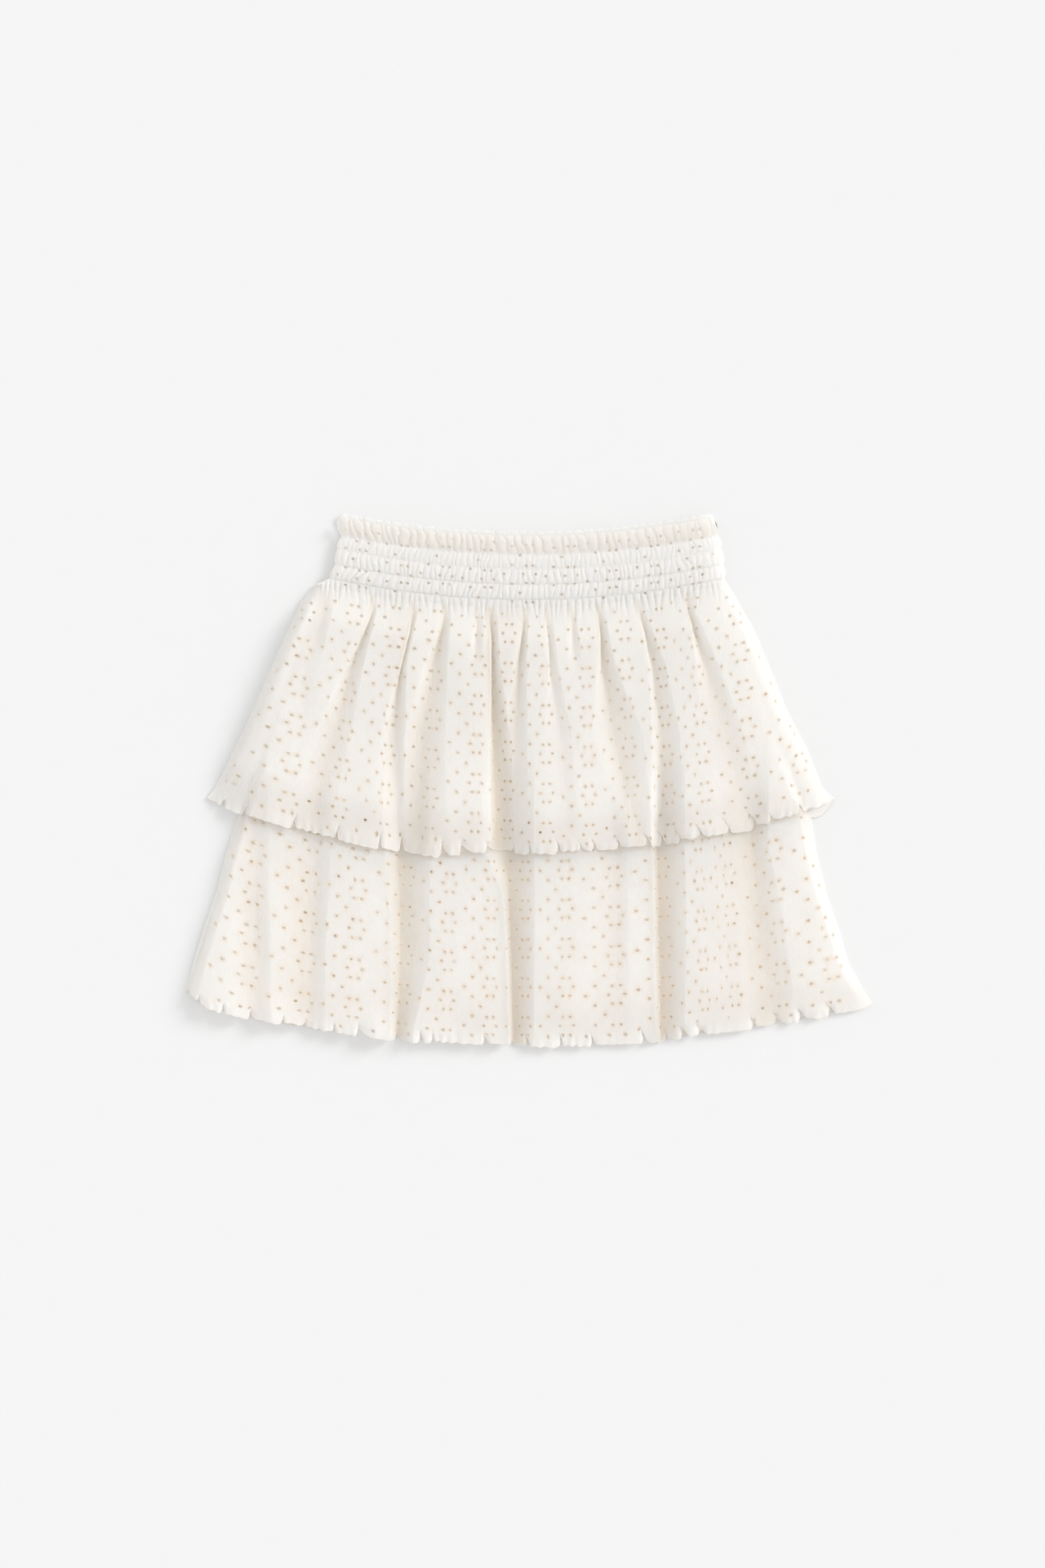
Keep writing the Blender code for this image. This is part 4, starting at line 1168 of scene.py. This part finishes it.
def roll_gathers(roll, u, w):
    """Height of a roll's gathers: u across from -1 to 1, w down the roll from 0 to 1."""
    dice = np.random.default_rng(roll.seed)
    widths = dice.uniform(*WIDTHS, roll.gathers)
    edges = 2.0 * np.concatenate(([0.0], np.cumsum(widths))) / widths.sum() - 1.0
    numbers = np.arange(roll.gathers + 1)
    lean = np.interp(u, edges, dice.uniform(*GATHER_LEAN, roll.gathers + 1))
    sway = np.interp(u, edges, dice.uniform(*GATHER_SWAY, roll.gathers + 1))
    phase = np.interp(u, edges, numbers) + lean * (w - 0.5) + sway * np.sin(TURN * w)
    strength = np.interp(phase, numbers, dice.uniform(*GATHER_SHARE, roll.gathers + 1))
    form = np.abs(np.sin(np.pi * phase)) ** GATHER_TOP - GATHER_MEAN
    return roll.depth * mix(1.0, roll.right, 0.5 + 0.5 * u) * strength * form


# %% Laying half a waistband
def lay_band(under, rolls, columns):
    """The drape of one half of the waistband."""
    tops = [line.y for line in BAND_LINES]
    heights = np.arange(tops[0], tops[-1] - HAIR, -BAND_DOWN)
    u = np.linspace(-1.0, 1.0, int(2.0 * BAND_LINES[-1].half / BAND_ACROSS))
    u, height = np.meshgrid(u, heights)

    def column(name):
        return np.interp(height, tops[::-1], [getattr(line, name) for line in BAND_LINES][::-1])

    full = 1.0 - np.abs(u) ** SIDE_POWER
    half, y = column("half"), height + column("rise") * u ** 2
    z = under + column("height") * mix(SIDE_HEIGHT, 1.0, full)
    plain = z.copy()
    corner = 1.0 - np.sqrt(1.0 - np.clip((np.abs(u) - CORNER_FROM) / CORNER_WIDE, 0.0, 1.0) ** 2)
    for high, low, roll in zip(BAND_LINES, BAND_LINES[1:], rolls):
        w = np.clip((high.y - height) / (high.y - low.y), 0.0, 1.0)
        here = (height <= high.y) & ((height > low.y) | (roll is rolls[-1]))
        gathers = roll_gathers(roll, u, w) * full
        if roll is rolls[0]:
            round_up = np.sin(np.pi * (0.5 + 0.5 * w)).clip(0.0) ** ROLL_ROUND
            reach = mix(*FRILL_REACH, w ** 3)
            down = SCALLOP_DOWN * gathers * np.sin(np.pi * w ** 2) - CORNER_DROP * corner * (1.0 - w)
            out = SCALLOP_OUT * gathers * smooth(1.0 - w / SCALLOP_TO)
            y = y + np.where(here, out - down.clip(0.0) + down.clip(None, 0.0), 0.0)
        else:
            round_up = np.sin(np.pi * w).clip(0.0) ** ROLL_ROUND
            reach = mix(ROLL_REACH, 1.0, np.sin(np.pi * w).clip(0.0) ** REACH_ROUND)
        half = half + np.where(here, roll.bulge * round_up, 0.0)
        z = z + np.where(here, roll.puff * round_up * full + gathers * reach, 0.0)
    x = column("centre") + half * u
    below = smooth((LAST_ROW.y - height) / ROW_BLEND)
    z = z + np.where(height <= LAST_ROW.y, puckers(x, y) * below, 0.0) * full
    laid = np.stack((x, y, z), axis=-1)
    down = lengths_along(laid[:, laid.shape[1] // 2])
    return Drape(laid, np.stack((x, y, plain), axis=-1), down, columns, (0.0, 0.0))


# %% The front half of the waistband
def on_frill(x, y):
    """1 on the frill and 0 below the top row of elastic."""
    arc = TOP_ROW.y + TOP_ROW.rise * ((x - TOP_ROW.centre) / TOP_ROW.half) ** 2
    return smooth((y - arc) / ROW_BLEND)


def band_tone_and_painted_shade(x, y):
    """A faint warm tone over the band, and warm painted shade on the frill, for light that comes through it
    from behind.
    """
    return mix(BAND_TAN, FRILL_WARM_PAINTED_SHADE, on_frill(x, y))


def frill_painted_shade(x, y):
    """Grey painted shade on the frill, which stands on edge, so less light reaches it."""
    return FRILL_GREY_PAINTED_SHADE * on_frill(x, y)


band_front = lay_band(2.0 * LAYER, ROLLS, even_columns(28.0, 14, 136.0, 2.0))
band_panel = Panel("waistband_front", band_front, ((0, END, 0.85),), 0.0, 8, 0.55, 7)
band_marks = [("tone_and_painted_shade", band_tone_and_painted_shade), ("edge", frill_painted_shade)]
cloth["waistband_front"] = make_cloth(band_panel, shirred_cloth, marked=band_marks)

# %% [markdown]
# The back half lies under the front one, and only its heading shows, as a narrow strip past the frill. Its
# underside rests flat on the table.

# %% The back half of the waistband
BACK_LIFT, BACK_LIFT_RUN = 3.5, 12.0  # the back's heading reaches this much higher than the front's
BACK_TOP = 3.1
BACK_UNDER = -1.7  # its rolls would sink this far, and the table flattens them
BACK_ROLLS = table_of(Roll, (
    (0.6, 44, 1.6, 0.6, 2.2, 41), (0.4, 50, 0.5, 1.0, 2.0, 42), (0.4, 48, 0.5, 1.0, 1.8, 43),
    (0.4, 50, 0.5, 1.0, 1.6, 44), (0.2, 50, 0.0, 1.0, 0.0, 45),
))
band_back = lay_band(BACK_UNDER, BACK_ROLLS, even_columns(28.0, 14, 140.0, 2.0))
band_back.laid[:, :, 1] += BACK_LIFT * smooth(1.0 - band_back.down / BACK_LIFT_RUN)[:, None]
band_back.laid[:, :, 2] = np.clip(band_back.laid[:, :, 2], CLOTH, BACK_TOP)


def on_table(upper):
    """The underside lies on the table."""
    return np.full(len(upper), ON_TABLE)


back_panel = Panel("waistband_back", band_back, ((0, 16, 1.2), (16, END, 2.6)), 0.0, 6, 0.9, 8)
cloth["waistband_back"] = make_cloth(back_panel, shirred_cloth, on_table)

# %% [markdown]
# ## Saying what each piece is
#
# Every piece of cloth rides on the one rigid body and takes the place of its solid in the model, which is
# hidden. The size each was cut to is printed.

# %% Bodies and sheets
Sheet = namedtuple("Sheet", "node drape held slot rests_on")
SHEETS = table_of(Sheet, (
    ("upper_tier_front", upper_front, "laid", "eyelet_jersey", ["lower_tier_front_cloth"]),
    ("lower_tier_front", lower_front, "laid", "eyelet_jersey", ["lower_tier_back_cloth"]),
    ("upper_tier_back", upper_back, "laid", "eyelet_jersey", ["table"]),
    ("lower_tier_back", lower_back, "laid", "eyelet_jersey", ["upper_tier_back_cloth", "table"]),
    ("waistband_front", band_front, "gathered", "shirred_waistband", ["waistband_back_cloth"]),
    ("waistband_back", band_back, "gathered", "shirred_waistband", ["table"]),
))
for sheet in SHEETS:
    piece = cloth[sheet.node]
    with_pieces = [hems[sheet.node]] if sheet.node in hems else []
    for part in [piece] + with_pieces:
        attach(part, "root")
    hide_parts(sheet.node)
    width, length, area = sheet.drape.size()
    print(sheet.node, round(width), "by", round(length), "mm flat,", round(area / 100), "square cm")

# %% [markdown]
# ## Table, light and camera
#
# The table is plain and pale. One broad light, low on the right and a little towards the waist, draws soft
# shadows to the left and below, and an even sky fills them. The camera looks straight down.

# %% Table
def table_material():
    """Matt white board."""
    paint = Paint("table_board")
    place = paint.node("ShaderNodeTexCoord").outputs["Object"]
    colour = paint.blend(paint.noise(place, 60.0), (0.717, 0.717, 0.717, 1.0), (0.727, 0.727, 0.727, 1.0))
    return paint.done(paint.node("ShaderNodeBsdfPrincipled", inputs={
        "Base Color": colour, "Roughness": 0.9, "Metallic": 0.0, "Specular IOR Level": 0.1}))


TABLE_HALF = 2500.0
corners = np.array([(-1, -1, 0), (1, -1, 0), (1, 1, 0), (-1, 1, 0)]) * TABLE_HALF - (0.0, 0.0, 0.1)
table = add_piece("table", corners, [(0, 1, 2, 3)], corners[:, :2], table_material())

# %% Light
SKY = 1.03
scene = bpy.context.scene
key = bpy.data.lights.new("key", "SUN")
key.energy = 1.75
key.angle = np.radians(22.0)
key_light = add_object("key", key)
key_light.rotation_euler = Vector((0.76, 0.41, 0.42)).to_track_quat("Z", "Y").to_euler()

world = bpy.data.worlds.new("studio")
world.use_nodes = True
world.node_tree.nodes["Background"].inputs[0].default_value = (1.0, 1.0, 1.0, 1.0)
world.node_tree.nodes["Background"].inputs[1].default_value = SKY
scene.world = world
scene.view_settings.view_transform = "Standard"
scene.cycles.diffuse_bounces = 12  # thin white cloth passes light from layer to layer many times
print("key light", key.energy, "and sky", SKY)

# %% Camera
PICTURE_HIGH = 1.056  # metres of table that the picture's height shows
EYE_HEIGHT = 2.2
lens = bpy.data.cameras.new("overhead")
lens.sensor_fit = "VERTICAL"
lens.sensor_height = 36.0
lens.lens = lens.sensor_height * EYE_HEIGHT / PICTURE_HIGH
camera = add_object("overhead", lens)
camera.location = (-0.0047, -0.0033, EYE_HEIGHT)
scene.camera = camera
print("lens", round(lens.lens, 1), "mm")

# %% Update the scene
bpy.context.view_layer.update()
